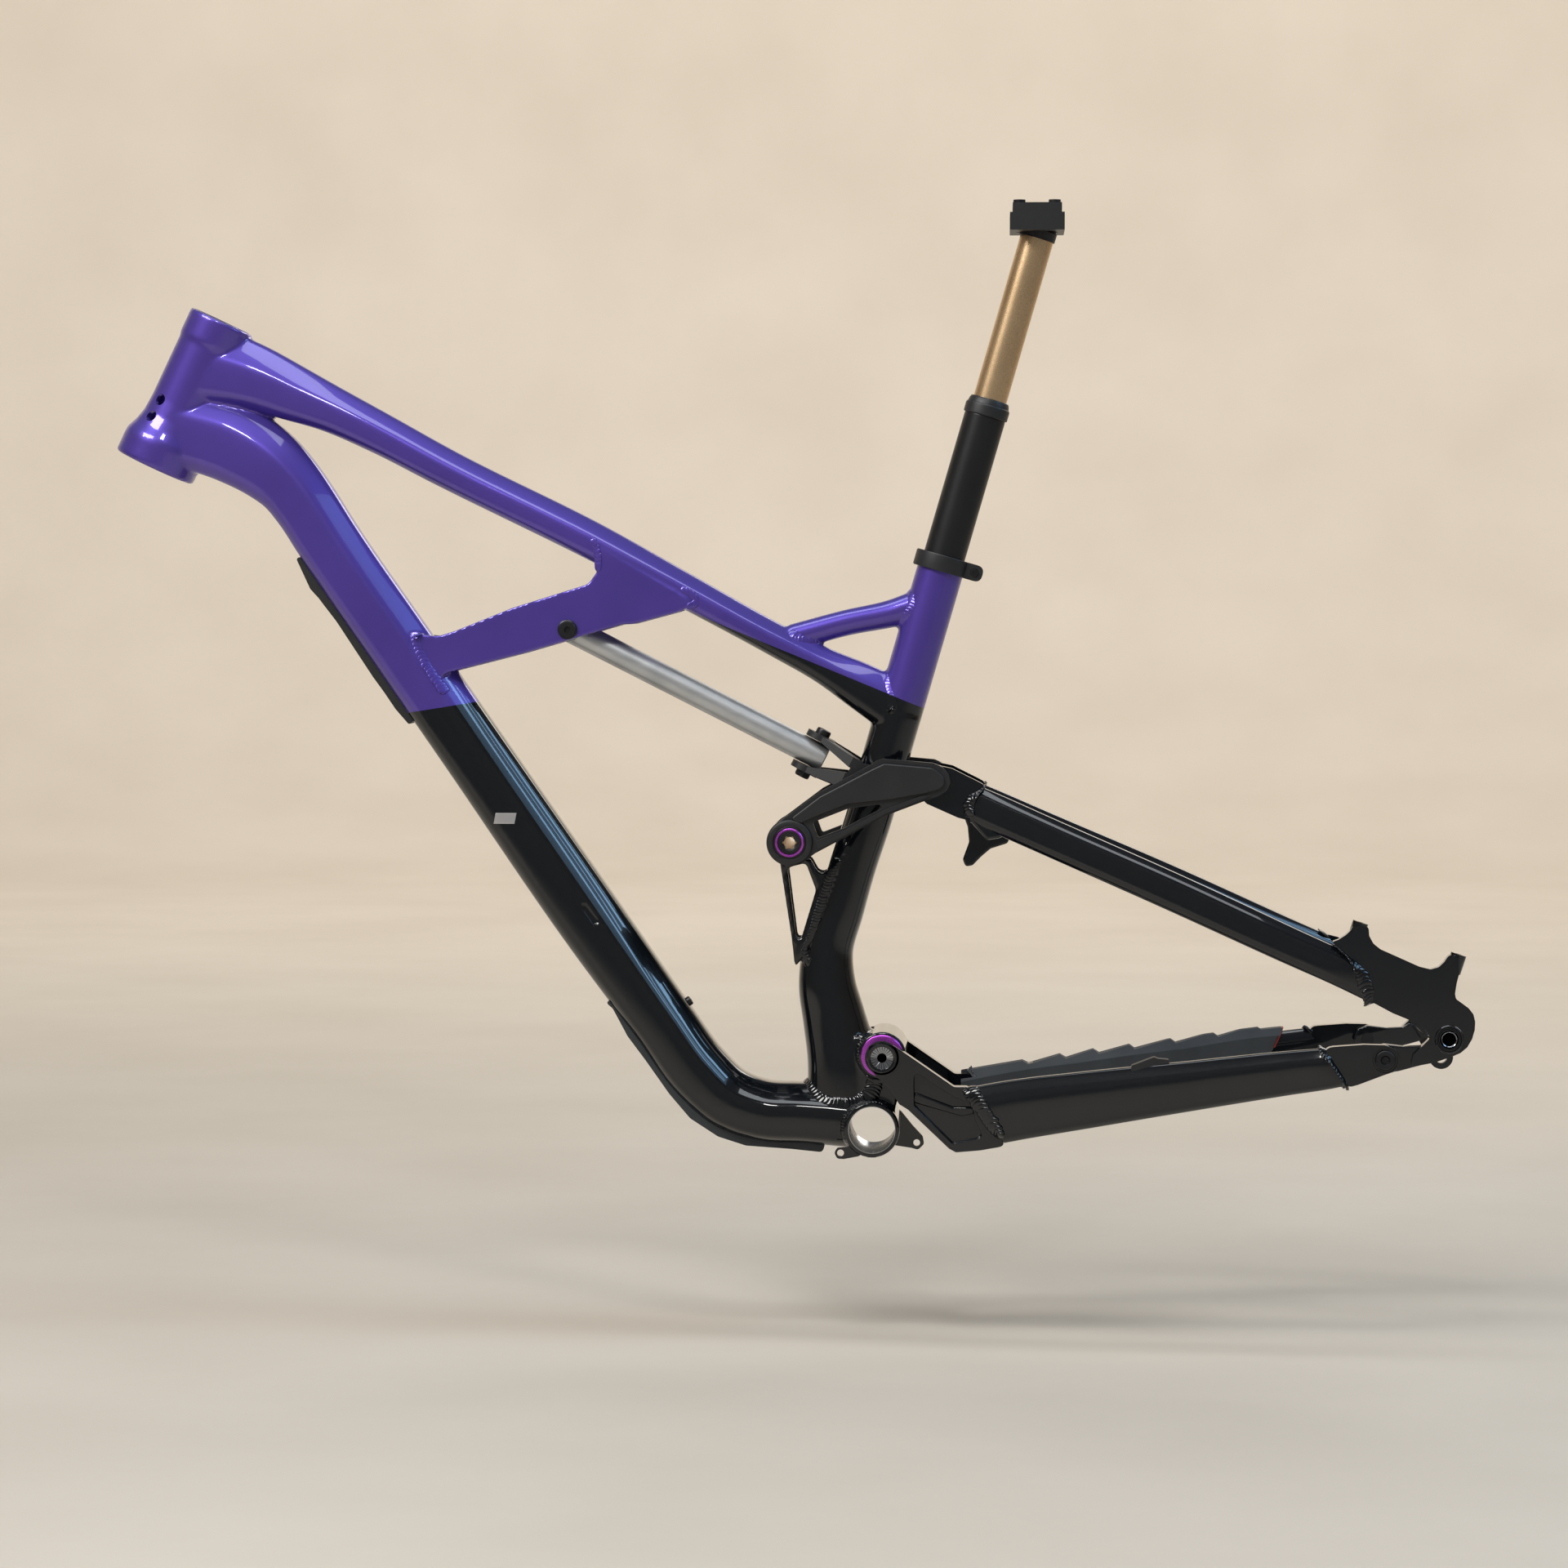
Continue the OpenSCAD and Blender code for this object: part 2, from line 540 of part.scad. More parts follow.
rocker_shape = [[-67, 227.8], [-38.6, 249.1], [-0.3, 269.5], [4, 272.6], [8.6, 273.8], [45, 270.6], [52, 267.4],
    [56.4, 262], [57.6, 256], [55, 250.5], [49, 246.5], [36.8, 242.1], [10, 231.9], [-41.6, 204.2]];
rocker_window = [[-43.4, 226.9], [-17.1, 237.2], [5, 240.2], [9, 238.4], [-20.6, 222.8], [-39.2, 215.6]];
module rocker(side) color(satin) difference() {
    union() {
        side_slab(side, rocker_y[0], rocker_y[1]) difference() {
            polygon(rocker_shape);
            polygon(rocker_window);
        }
        side_cyl(side, rocker_p, 17, 27.4, rocker_y[1]);
    }
    side_cyl(side, rocker_p, 12, 20, 60);
    side_cyl(side, upper_p, upper_pin_r, 20, 44);
}
module rocker_left() rocker(-1);
module rocker_right() rocker(1);
module rocker_bearings() color("silver") for (s = [-1, 1]) difference() {
    side_cyl(s, rocker_p, 12, 28, 45.8);
    side_cyl(s, rocker_p, rocker_pin_r + run, 20, 60);
}
// bolts of the upper pivot, screwed in from inside and hidden by the plate
module upper_bolts() color("dimgray") for (s = [-1, 1])
    side_cyl(s, upper_p, upper_pin_r, yoke_y[0] + 0.5, 44);
ear_n = [10.3, 15];
module shock_yoke() color(satin) difference() {
    union() {
        for (s = [-1, 1]) {
            side_slab(s, yoke_y[0], yoke_y[1]) {
                translate(upper_p) circle(r = 12);
                polygon([[-15, 272], [0, 267.6], [44, 268], [44, 244], [4, 243.5], [-20, 248], [-22, 256],
                    [-16, 267]]);
            }
            // arms from the ears outward round the seat tube
            arm(s, ear_n[0] + 0.3, [4, 12]);
            arm(s, -ear_n[1] + 0.3, [-12, -0.4]);
        }
        for (n = [ear_n[0], -ear_n[1]]) at_strut() translate([0, 0, n])
            linear_extrude(ear_n[1] - ear_n[0]) ear();
    }
    ycyl(upper_p, upper_pin_r + run, -60, 60);
    at_strut(202.6) translate([0, 0, -40]) cylinder(r = 3, h = 80);
}
// low is the underside at the ear, far_z the span at the outer end
module arm(s, low, far_z) hull() {
    at_strut(203) translate([0, s * 10 - 2.5, low]) cube([9.4, 5, ear_n[1] - ear_n[0] - 0.6]);
    at_strut(231) translate([0, s * 24 - 3, far_z[0]]) cube([8, 6, far_z[1] - far_z[0]]);
}
module ear() {
    translate([202.6, 0]) circle(r = 11);
    translate([202.6, -13]) square([10.4, 26]);
}
// one short bolt in each ear, its tip flush with the ear's inner face
module yoke_bolts() color(satin) for (f = [0, 180]) at_strut(202.6) rotate([f, 0, 0]) {
    translate([0, 0, ear_n[0]]) cylinder(r = 3, h = ear_n[1] - ear_n[0]);
    translate([0, 0, ear_n[1]]) socket_head(6, 4.6, 2.5);
}
module strut_tube() color("silver") difference() {
    at_strut(-strut_r) rotate([0, 90, 0]) cylinder(r = strut_r, h = strut_len + strut_r);
    at_strut(-strut_r - 1) rotate([0, 90, 0]) cylinder(r = strut_r - 2, h = strut_len + strut_r + 2);
    ycyl(strut_p, strut_bolt_r + slack_strut, -20, 20);
}
module strut_plug() color("gray") at_strut(strut_len - 22) rotate([0, 90, 0])
    cylinder(r = strut_r - 2, h = 20);

// ---------- stanchion and saddle clamp ----------

module stanchion() color("darkgoldenrod") at_seat(165) difference() {
    cylinder(r = stanchion_r, h = clamp_s - 165 - 16);
    translate([0, 0, 5]) cylinder(r = stanchion_r - 2, h = 300);
}
module clamp_base() color(satin) at_seat(clamp_s - 16) difference() {
    union() {
        rotate_extrude() polygon([[0, 0], [13.6, 0], [13.6, 6], [11, 9], [0, 9]]);
        rotate([0, -seat_tilt, 0]) translate([-20, -27, 4.5]) cube([40, 54, 13]);
    }
    clamp_holes();
    saddle_rails();
}
// the two saddle rails' grooves and the two clamp bolts' holes, in the clamp's frame
module saddle_rails() rotate([0, -seat_tilt, 0]) for (s = [-22, 22])
    translate([-40, s, 18]) rotate([0, 90, 0]) cylinder(r = 3.5, h = 80);
module clamp_holes() rotate([0, -seat_tilt, 0]) for (x = [-13, 13])
    translate([x, 0, -20]) cylinder(r = 2.5, h = 60);
module clamp_cap() color(satin) at_seat(clamp_s - 16) difference() {
    rotate([0, -seat_tilt, 0]) translate([-18, -27, 17.5]) cube([36, 54, 7]);
    clamp_holes();
    saddle_rails();
}
module clamp_bolts() color("dimgray") at_seat(clamp_s - 16) rotate([0, -seat_tilt, 0])
    for (x = [-13, 13]) translate([x, 0, 0]) {
        translate([0, 0, 6]) cylinder(r = 2.5, h = 18.5);
        translate([0, 0, 24.5]) socket_head(4.5, 4, 2);
    }

head_tube();
top_tube();
down_tube();
seat_tube_upper();
seat_tube_lower();
seat_tube_brace();
gusset_left();
gusset_right();
gusset_web();
bb_shell();
chainguide_tabs();
main_pivot_housing();
rocker_bracket();
seat_collar();
collar_bolt();
seatpost_outer();
seatpost_seal_head();
cable_cover();
rock_guard();
frame_screws();
strut_bolt();
strut_spacers();
rocker_axle();
rocker_rings();
main_bearings();
chainstay_yoke();
chainstay_left();
chainstay_right();
chainstay_end_left();
chainstay_end_right();
chainstay_guard();
cable_clip();
main_axle();
main_rings();
main_caps();
horst_bearings();
seatstay_left();
seatstay_right();
seatstay_head_left();
seatstay_head_right();
seatstay_bridge();
dropout_left();
dropout_right();
derailleur_hanger();
axle_inserts();
horst_bolts();
rocker_left();
rocker_right();
rocker_bearings();
upper_bolts();
shock_yoke();
yoke_bolts();
strut_tube();
strut_plug();
stanchion();
clamp_base();
clamp_cap();
clamp_bolts();
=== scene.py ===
"""Looks of a full-suspension bicycle frame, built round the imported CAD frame."""
import json
import math
import random

import bmesh
import bpy
import numpy as np
from mathutils import Matrix, Vector
from mathutils.bvhtree import BVHTree

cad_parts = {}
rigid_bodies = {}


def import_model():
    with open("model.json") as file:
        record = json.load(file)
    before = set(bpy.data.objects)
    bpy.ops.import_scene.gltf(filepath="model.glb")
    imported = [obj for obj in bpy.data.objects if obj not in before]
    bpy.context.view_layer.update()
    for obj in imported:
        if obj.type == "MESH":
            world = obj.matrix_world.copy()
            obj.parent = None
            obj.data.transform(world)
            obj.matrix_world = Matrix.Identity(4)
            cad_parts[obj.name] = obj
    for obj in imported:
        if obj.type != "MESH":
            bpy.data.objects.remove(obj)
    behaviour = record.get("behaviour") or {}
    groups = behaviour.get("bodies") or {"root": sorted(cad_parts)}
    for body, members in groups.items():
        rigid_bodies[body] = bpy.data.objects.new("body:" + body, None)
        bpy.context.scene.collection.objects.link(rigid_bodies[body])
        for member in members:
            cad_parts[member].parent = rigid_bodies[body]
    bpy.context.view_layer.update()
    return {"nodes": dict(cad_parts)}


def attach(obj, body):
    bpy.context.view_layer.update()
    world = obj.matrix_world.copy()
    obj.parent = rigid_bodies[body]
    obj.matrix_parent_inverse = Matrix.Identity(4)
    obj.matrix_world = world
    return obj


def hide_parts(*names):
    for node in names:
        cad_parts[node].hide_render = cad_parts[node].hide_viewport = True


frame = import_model()
random.seed(7)
MM = 0.001
SIDES = ((-1, "l"), (1, "r"))               # sign of Y and its letter: left is -Y
NAMED_SIDES = ((-1, "left"), (1, "right"))

# ---------- hard points, in millimetres, as in the CAD source ----------
MAIN = (7.8, 55.0)
HORST = (371.4, 58.5)
ROCKER = (-60.2, 212.2)
UPPER = (44.0, 256.0)
STRUT = (-225.4, 368.0)
AXLE = (417.6, 73.1)
HEAD = (-535.7, 488.4)
SEAT = (21.0, 314.0)
HEAD_ANGLE = math.radians(64.6)
SEAT_TILT = math.radians(16.2)
STRUT_SLOPE = math.radians(26.9)

TOP_ROUTE = [
    [-500, 0, 566, 62, 46], [-462, 0, 556, 50, 44], [-430, 0, 543, 42, 42],
    [-405, 0, 532.5, 35.5, 41], [-366, 0, 513.5, 31, 39], [-320, 0, 489, 29, 38],
    [-203, 0, 431, 28, 40], [-137, 0, 395.5, 25.5, 38], [-70, 0, 359, 24.5, 36],
    [-36, 0, 341, 27, 34], [-8, 0, 325.5, 35, 33.5], [16, 0, 311, 40, 33]]
DOWN_ROUTE = [
    [-520, 0, 521, 62, 50], [-477.8, 0, 507.5, 61, 49], [-444.6, 0, 486.6, 54, 48],
    [-433.5, 0, 475.8, 50, 47], [-421.8, 0, 460.4, 48, 47], [-406.4, 0, 436.4, 47.5, 47],
    [-349.6, 0, 354.1, 47.4, 48], [-301.1, 0, 284.2, 47.6, 50], [-198.5, 0, 136.4, 48.4, 53],
    [-154.5, 0, 75.6, 45.7, 55], [-127.3, 0, 38.6, 46, 56], [-107, 0, 20.6, 45, 57],
    [-83.8, 0, 11.9, 44.3, 58], [-50, 0, 9.8, 44.5, 60], [0, 0, 6, 46, 62]]


def seat_point(s):
    return (SEAT[0] + s * math.sin(SEAT_TILT), SEAT[1] + s * math.cos(SEAT_TILT))


def mid(p):
    """Point (x, z) in the frame's mid plane."""
    return (p[0], 0, p[1])


SEAT_LOW_ROUTE = [
    [*mid(seat_point(-8)), 34.9, 34.9], [*mid(seat_point(-40)), 34.8, 34.8],
    [-2.7, 0, 230, 34.5, 35], [-16, 0, 190, 35, 36], [-24.5, 0, 160, 35.5, 37.5],
    [-33.5, 0, 131, 38, 39], [-34, 0, 104, 43, 42], [-29, 0, 80, 47, 45], [-23, 0, 50, 52, 50],
    [-22, 0, 14, 54, 52]]
BRACE_ROUTE = [[-60, 0, 362, 20, 20], [-20, 0, 373, 19.5, 20], [14, 0, 380, 21, 22],
               [34, 0, 386, 24, 24]]
CHAIN_ROUTE = [
    [60, 50, 8, 45, 19], [98, 52, 16, 44.5, 19.5], [158, 57, 25.7, 41.5, 20],
    [229, 65, 36.5, 36.5, 19], [300, 75, 47.4, 32, 17], [335, 81, 52.3, 29, 14], [352, 82.5, 55, 26, 9]]
STAY_ROUTE = [
    [62, 33, 246, 26.5, 12], [84, 34.5, 236.5, 27.5, 17], [130, 42, 216.5, 27.5, 19],
    [221, 57.5, 177, 27.5, 19], [300, 71, 141.3, 26.5, 18], [345, 77, 121, 25.5, 14],
    [372, 78, 107, 24, 9]]

# cross sections: corners of the right half from top to bottom, as shares of half width and half depth
DOWN_SECTION = [(0.40, 1.0), (1.0, 0.30), (1.0, -0.72), (0.62, -1.0)]
TOP_SECTION = [(0.36, 1.0), (1.0, 0.22), (1.0, -0.70), (0.6, -1.0)]
CHAIN_SECTION = [(0.35, 1.0), (1.0, 0.46), (1.0, -0.78), (0.5, -1.0)]
STAY_SECTION = [(0.35, 1.0), (1.0, 0.55), (1.0, -0.62), (0.5, -1.0)]


# ---------- mesh helpers ----------

def new_object(name, verts, faces, mat=None, scale=MM, sharp=None):
    mesh = bpy.data.meshes.new(name)
    mesh.from_pydata([tuple(float(c) * scale for c in v) for v in verts], [], faces)
    mesh.validate()
    mesh.update()
    return link(name, mesh, mat, sharp)


def link(name, mesh, mat=None, sharp=None):
    obj = bpy.data.objects.new(name, mesh)
    bpy.context.scene.collection.objects.link(obj)
    if mat:
        mesh.materials.clear()
        mesh.materials.append(mat)
    mesh.shade_smooth()
    if sharp:
        mesh.set_sharp_from_angle(angle=math.radians(sharp))
    return obj


def closed_section(half):
    """Whole outline from a right half, with its corners rounded."""
    pts = [np.array(p, float) for p in half] + [np.array((-u, v), float) for u, v in reversed(half)]
    for cut in (0.12, 0.25, 0.25):
        out = []
        for i, p in enumerate(pts):
            q = pts[(i + 1) % len(pts)]
            out += [p + (q - p) * cut, q + (p - q) * cut]
        pts = out
    # corner cutting pulls the outline in, so stretch it back to the full size
    arr = np.array(pts)
    return arr / np.abs(arr).max(axis=0)


def oval_section(power, sides=48):
    a = (np.arange(sides) + 0.5) / sides * 2 * math.pi
    f = lambda v: np.sign(v) * np.abs(v) ** (2 / power)
    return np.stack([f(np.cos(a)), f(np.sin(a))], axis=1)[::-1]


def stations(route, step=4.0):
    """A smooth curve through the route's stations, about one station each step millimetres."""
    p = np.array(route, float)
    h = np.linalg.norm(np.diff(p[:, :3], axis=0), axis=1)
    d = np.diff(p, axis=0) / h[:, None]
    m = np.zeros_like(p)
    m[0], m[-1] = d[0], d[-1]
    for i in range(1, len(p) - 1):
        m[i] = (d[i - 1] * h[i] + d[i] * h[i - 1]) / (h[i] + h[i - 1])
    out = []
    for i in range(len(h)):
        n = max(2, int(round(h[i] / step)))
        for k in range(n):
            t = k / n
            a, b = 2 * t ** 3 - 3 * t ** 2 + 1, t ** 3 - 2 * t ** 2 + t
            c, e = -2 * t ** 3 + 3 * t ** 2, t ** 3 - t ** 2
            out.append(a * p[i] + b * h[i] * m[i] + c * p[i + 1] + e * h[i] * m[i + 1])
    out.append(p[-1])
    return np.array(out)


def rings_of(route, section, side=1, step=4.0, grow=0.0):
    """Array of rings [station, point, xyz] of a swept tube, in millimetres."""
    st = stations(route, step)
    tan = np.gradient(st[:, [0, 2]], axis=0)
    tan /= np.linalg.norm(tan, axis=1)[:, None]
    out = []
    for s, t in zip(st, tan):
        u = section[:, 0] * (s[4] / 2 + grow)
        v = section[:, 1] * (s[3] / 2 + grow)
        out.append(np.stack([s[0] - v * t[1], side * s[1] + u, s[2] + v * t[0]], axis=1))
    return np.array(out)


def fix_normals(obj, merge=False):
    bm = bmesh.new()
    bm.from_mesh(obj.data)
    if merge:
        bmesh.ops.remove_doubles(bm, verts=bm.verts, dist=1e-6)
        bmesh.ops.dissolve_degenerate(bm, dist=1e-7, edges=bm.edges)
    bmesh.ops.recalc_face_normals(bm, faces=bm.faces)
    bm.to_mesh(obj.data)
    bm.free()
    return obj


def loft(name, rings):
    """Closed tube through the rings."""
    n, k = rings.shape[:2]
    faces = []
    for i in range(n - 1):
        for j in range(k):
            a, b = i * k + j, i * k + (j + 1) % k
            faces.append((a, b, b + k, a + k))
    faces.append(tuple(range(k))[::-1])
    faces.append(tuple((n - 1) * k + j for j in range(k)))
    return fix_normals(new_object(name, rings.reshape(-1, 3), faces))


def solid(name, low, high, mat=None):
    """Closed solid between two matching outlines, in millimetres."""
    n = len(low)
    faces = [tuple(range(n)), tuple(range(n, 2 * n))[::-1]]
    faces += [(i, n + i, n + (i + 1) % n, (i + 1) % n) for i in range(n)]
    return fix_normals(new_object(name, low + high, faces, mat))


def lathe(name, profile, origin, axis, mat=None, segments=96, sharp=35, closed=True):
    """Turns profile [(radius, height), ...] about axis through origin, in millimetres."""
    z = Vector(axis).normalized()
    x = z.orthogonal().normalized()
    y = z.cross(x)
    verts, faces = [], []
    n = len(profile)
    for i in range(segments):
        a = 2 * math.pi * i / segments
        r_dir = x * math.cos(a) + y * math.sin(a)
        for r, h in profile:
            verts.append(Vector(origin) + r_dir * r + z * h)
    for i in range(segments):
        i2 = (i + 1) % segments
        for j in range(n if closed else n - 1):
            j2 = (j + 1) % n
            faces.append((i * n + j, i2 * n + j, i2 * n + j2, i * n + j2))
    obj = fix_normals(new_object(name, verts, faces, mat), merge=True)
    obj.data.shade_smooth()
    obj.data.set_sharp_from_angle(angle=math.radians(sharp))
    return obj


def cyl(p, r, y0, y1, name="cutter", segments=96):
    """Solid cylinder along Y at p = (x, z)."""
    return lathe(name, [(0, y0), (r, y0), (r, y1), (0, y1)], mid(p), (0, 1, 0), segments=segments)


def side_cyl(p, r, side, near, far, name="cutter", segments=96):
    """Cylinder along Y on one side of the frame, from near to far off its mid plane."""
    return cyl(p, r, *sorted((side * near, side * far)), name, segments)


def rod(origin, axis, r, h0, h1, name="cutter", segments=96):
    return lathe(name, [(0, h0), (r, h0), (r, h1), (0, h1)], origin, axis, segments=segments)


def smooth_outline(pts, radius, steps=5):
    """Rounds the corners of a polygon with arcs of about that radius."""
    out = []
    n = len(pts)
    for i in range(n):
        p = np.array(pts[i], float)
        a = np.array(pts[i - 1], float) - p
        b = np.array(pts[(i + 1) % n], float) - p
        la, lb = np.linalg.norm(a), np.linalg.norm(b)
        cosine = np.clip(a @ b / (la * lb), -1, 1)
        half = math.acos(cosine) / 2
        if half > math.radians(86) or radius <= 0:
            out.append(p)
            continue
        cut = min(radius / max(math.tan(half), 1e-3), 0.45 * la, 0.45 * lb)
        s, e = p + a / la * cut, p + b / lb * cut
        for k in range(steps + 1):
            t = k / steps
            out.append((1 - t) ** 2 * s + 2 * t * (1 - t) * p + t * t * e)
    return out


def plate(name, pts, y0, y1, mat=None, corner=3.0, bevel=0.0, segments=3, holes=()):
    """Flat plate between y0 and y1, drawn in XZ, with rounded corners and holes (polygons)."""
    outline = smooth_outline(pts, corner)
    obj = solid(name, [(p[0], y0, p[1]) for p in outline], [(p[0], y1, p[1]) for p in outline], mat)
    for hole in holes:
        subtract(obj, [hole])
    if bevel:
        soften(obj, bevel, segments)
    return obj


def side_plate(name, pts, side, near, far, **options):
    return plate(name, pts, *sorted((side * near, side * far)), **options)


def modify(obj, kind, **settings):
    mod = obj.modifiers.new(kind.lower(), kind)
    for key, value in settings.items():
        setattr(mod, key, value)


def bevel_edges(obj, width, segments, angle=40):
    modify(obj, "BEVEL", width=width * MM, segments=segments, limit_method="ANGLE",
           angle_limit=math.radians(angle))


def soften(obj, width, segments=3, angle=40):
    bevel_edges(obj, width, segments, angle)
    bake_modifiers(obj)
    obj.data.shade_smooth()
    obj.data.set_sharp_from_angle(angle=math.radians(50))


def bake_modifiers(obj):
    graph = bpy.context.evaluated_depsgraph_get()
    mesh = bpy.data.meshes.new_from_object(obj.evaluated_get(graph))
    old = obj.data
    obj.modifiers.clear()
    obj.data = mesh
    bpy.data.meshes.remove(old)


def boolean(obj, others, how):
    for other in others:
        modify(obj, "BOOLEAN", operation=how, solver="MANIFOLD", object=other)
    bake_modifiers(obj)
    for other in others:
        bpy.data.objects.remove(other)


def subtract(obj, cutters):
    boolean(obj, cutters, "DIFFERENCE")


def join(name, objs, mat=None):
    """One object from several, with no boolean."""
    bm = bmesh.new()
    for o in objs:
        bm.from_mesh(o.data)
        bpy.data.objects.remove(o)
    mesh = bpy.data.meshes.new(name)
    bm.to_mesh(mesh)
    bm.free()
    return link(name, mesh, mat, sharp=50)


def remesh(obj, voxel):
    modify(obj, "REMESH", mode="VOXEL", voxel_size=voxel * MM)
    bake_modifiers(obj)
    modify(obj, "SMOOTH", factor=0.5, iterations=4)
    bake_modifiers(obj)
    obj.data.shade_smooth()


def tree_of(obj):
    bm = bmesh.new()
    bm.from_mesh(obj.data)
    tree = BVHTree.FromBMesh(bm)
    bm.free()
    return tree


def inside(tree, p):
    hit, normal, _, _ = tree.find_nearest(p)
    return hit is not None and (p - hit).dot(normal) < 0


def junction(rings, tree, from_end=True):
    """Loop where the tube's lines enter the other solid, in metres."""
    n, k = rings.shape[:2]
    loop = []
    for j in range(k):
        line = [Vector(rings[i, j]) * MM for i in range(n)]
        order = range(n - 1, 0, -1) if from_end else range(n - 1)
        for i in order:
            a, b = (line[i], line[i - 1]) if from_end else (line[i], line[i + 1])
            if inside(tree, a) and not inside(tree, b):
                for _ in range(6):
                    half = (a + b) / 2
                    if inside(tree, half):
                        a = half
                    else:
                        b = half
                loop.append((a + b) / 2)
                break
    return loop


def resample(points, step, closed=True):
    pts = [Vector(p) for p in points]
    if closed:
        pts.append(pts[0])
    length = [0.0]
    for a, b in zip(pts, pts[1:]):
        length.append(length[-1] + (b - a).length)
    n = max(2, int(length[-1] / step))
    out = []
    k = 0
    for i in range(n if closed else n + 1):
        s = length[-1] * i / n
        while k < len(length) - 2 and length[k + 1] < s:
            k += 1
        t = (s - length[k]) / max(length[k + 1] - length[k], 1e-9)
        out.append(pts[k].lerp(pts[k + 1], min(max(t, 0), 1)))
    return out


def bead(name, points, mat, tree=None, width=3.6, height=1.7, pitch=2.1, closed=True):
    """Fish-scale weld bead: overlapping flattened scales along the path, in metres."""
    path = resample(points, pitch * MM, closed)
    n = len(path)
    index = (lambda i: i % n) if closed else (lambda i: min(max(i, 0), n - 1))
    seats, normals = [], []
    for p in path:
        hit, normal = tree.find_nearest(p)[:2]
        seats.append(hit)
        normals.append(normal)
    for _ in range(3):
        normals = [(normals[index(i - 1)] + normals[i] + normals[index(i + 1)]).normalized()
                   for i in range(n)]
        seats = [(seats[index(i - 1)] + seats[i] * 2 + seats[index(i + 1)]) / 4 for i in range(n)]
    verts, faces = [], []
    around, up = 14, 5
    for i, seat in enumerate(seats):
        t = (seats[index(i + 1)] - seats[index(i - 1)]).normalized()
        normal = (normals[i] - t * normals[i].dot(t)).normalized()
        side = t.cross(normal)
        lean = (normal + t * 0.7).normalized()
        w = width * random.uniform(0.9, 1.08)
        tall = height * random.uniform(0.85, 1.1)
        seat = seat + side * (random.uniform(-0.08, 0.08) * width * MM)
        base = len(verts)
        for u in range(up):
            lat = -0.45 + 1.85 * u / up
            r, h = math.cos(lat), math.sin(lat)
            for v in range(around):
                c = 2 * math.pi * v / around
                bow = 0.35 * math.sin(c) ** 2
                verts.append(seat + t * ((math.cos(c) * 1.1 - bow) * r * pitch * MM)
                             + side * (math.sin(c) * r * w * MM) + lean * (h * tall * MM))
        verts.append(seat + lean * (tall * 1.02 * MM))
        for u in range(up - 1):
            for v in range(around):
                v2 = (v + 1) % around
                faces.append((base + u * around + v, base + u * around + v2,
                              base + (u + 1) * around + v2, base + (u + 1) * around + v))
        rim = base + (up - 1) * around
        for v in range(around):
            faces.append((rim + v, rim + (v + 1) % around, rim + around))
        faces.append(tuple(base + v for v in range(around))[::-1])
    return new_object(name, verts, faces, mat, scale=1.0)


def dress(obj, mat, sharp=40):
    """One material over the whole mesh, smooth but for its sharp edges."""
    obj.data.materials.clear()
    obj.data.materials.append(mat)
    obj.data.shade_smooth()
    obj.data.set_sharp_from_angle(angle=math.radians(sharp))
    return obj


def place(obj, body, *nodes, slot):
    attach(obj, body)
    if nodes:
        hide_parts(*nodes)


def turned(name, profile, p, side, mat, body, node=None, slot="dark_metal", **options):
    """Piece turned about the Y axis through p. The left one of a pair stands for both's CAD node."""
    obj = lathe(name, profile, mid(p), (0, side, 0), mat, **options)
    place(obj, body, *([node] if node and side < 0 else []), slot=slot)


def at_seat(obj, along):
    """Moves a mesh drawn at the origin to a height on the seat tube's axis."""
    x, z = seat_point(along)
    obj.data.transform(Matrix.Translation(Vector((x, 0, z)) * MM) @ Matrix.Rotation(SEAT_TILT, 4, "Y"))
    return obj


# ---------- materials ----------

PURPLE = (0.108, 0.064, 0.43)
PURPLE_DARK = (0.092, 0.054, 0.37)
# painted sky reflection: a lighter, bluer purple for faces that point up
PURPLE_PAINTED_SKY_SHEEN = (0.105, 0.082, 0.45)
# black paint, tinted blue as a painted reflection of the sky
BLACK_WITH_PAINTED_SKY_TINT = (0.0030, 0.0042, 0.0060)
# The purple ends at z = slope * x + height, in metres: one line ahead of PAINT_STEP, one behind it.
PAINT_FRONT = (0.16, 0.3615)
PAINT_REAR = (-0.413, 0.3254)
PAINT_STEP = -0.137
PAINT_EDGE = 2500.0         # steepness of the edge between the two paints, per metre
BUMP_DEPTH = 0.0004
LOW_SPECULAR = 0.1          # under a clear coat, which has its own reflection

def nodes_of(name):
    mat = bpy.data.materials.new(name)
    mat.use_nodes = True
    tree = mat.node_tree
    place_in = tree.nodes.new("ShaderNodeTexCoord").outputs["Object"]
    return mat, tree, tree.nodes["Principled BSDF"], place_in


def feed(tree, node, values):
    """Links or sets the inputs of a node."""
    for key, value in values.items():
        if isinstance(value, (int, float, tuple)):
            node.inputs[key].default_value = value
        else:
            tree.links.new(value, node.inputs[key])


def add_node(tree, kind, values, **settings):
    node = tree.nodes.new("ShaderNode" + kind)
    for key, value in settings.items():
        setattr(node, key, value)
    feed(tree, node, values)
    return node


def noise(tree, place_in, scale, detail=3.0, stretch=None):
    """Grey noise. stretch is a scale and a rotation of the place it is read at."""
    if stretch:
        turned_to = {"Vector": place_in, "Scale": stretch[0], "Rotation": stretch[1]}
        place_in = add_node(tree, "Mapping", turned_to).outputs["Vector"]
    values = {"Vector": place_in, "Scale": scale, "Detail": detail}
    return add_node(tree, "TexNoise", values).outputs["Fac"]


def ramp(tree, source, low, high):
    """Colour from one (position, colour) to another."""
    node = add_node(tree, "ValToRGB", {"Fac": source})
    for element, (position, colour) in zip(node.color_ramp.elements, (low, high)):
        element.position = position
        element.color = (*colour, 1)
    return node.outputs["Color"]


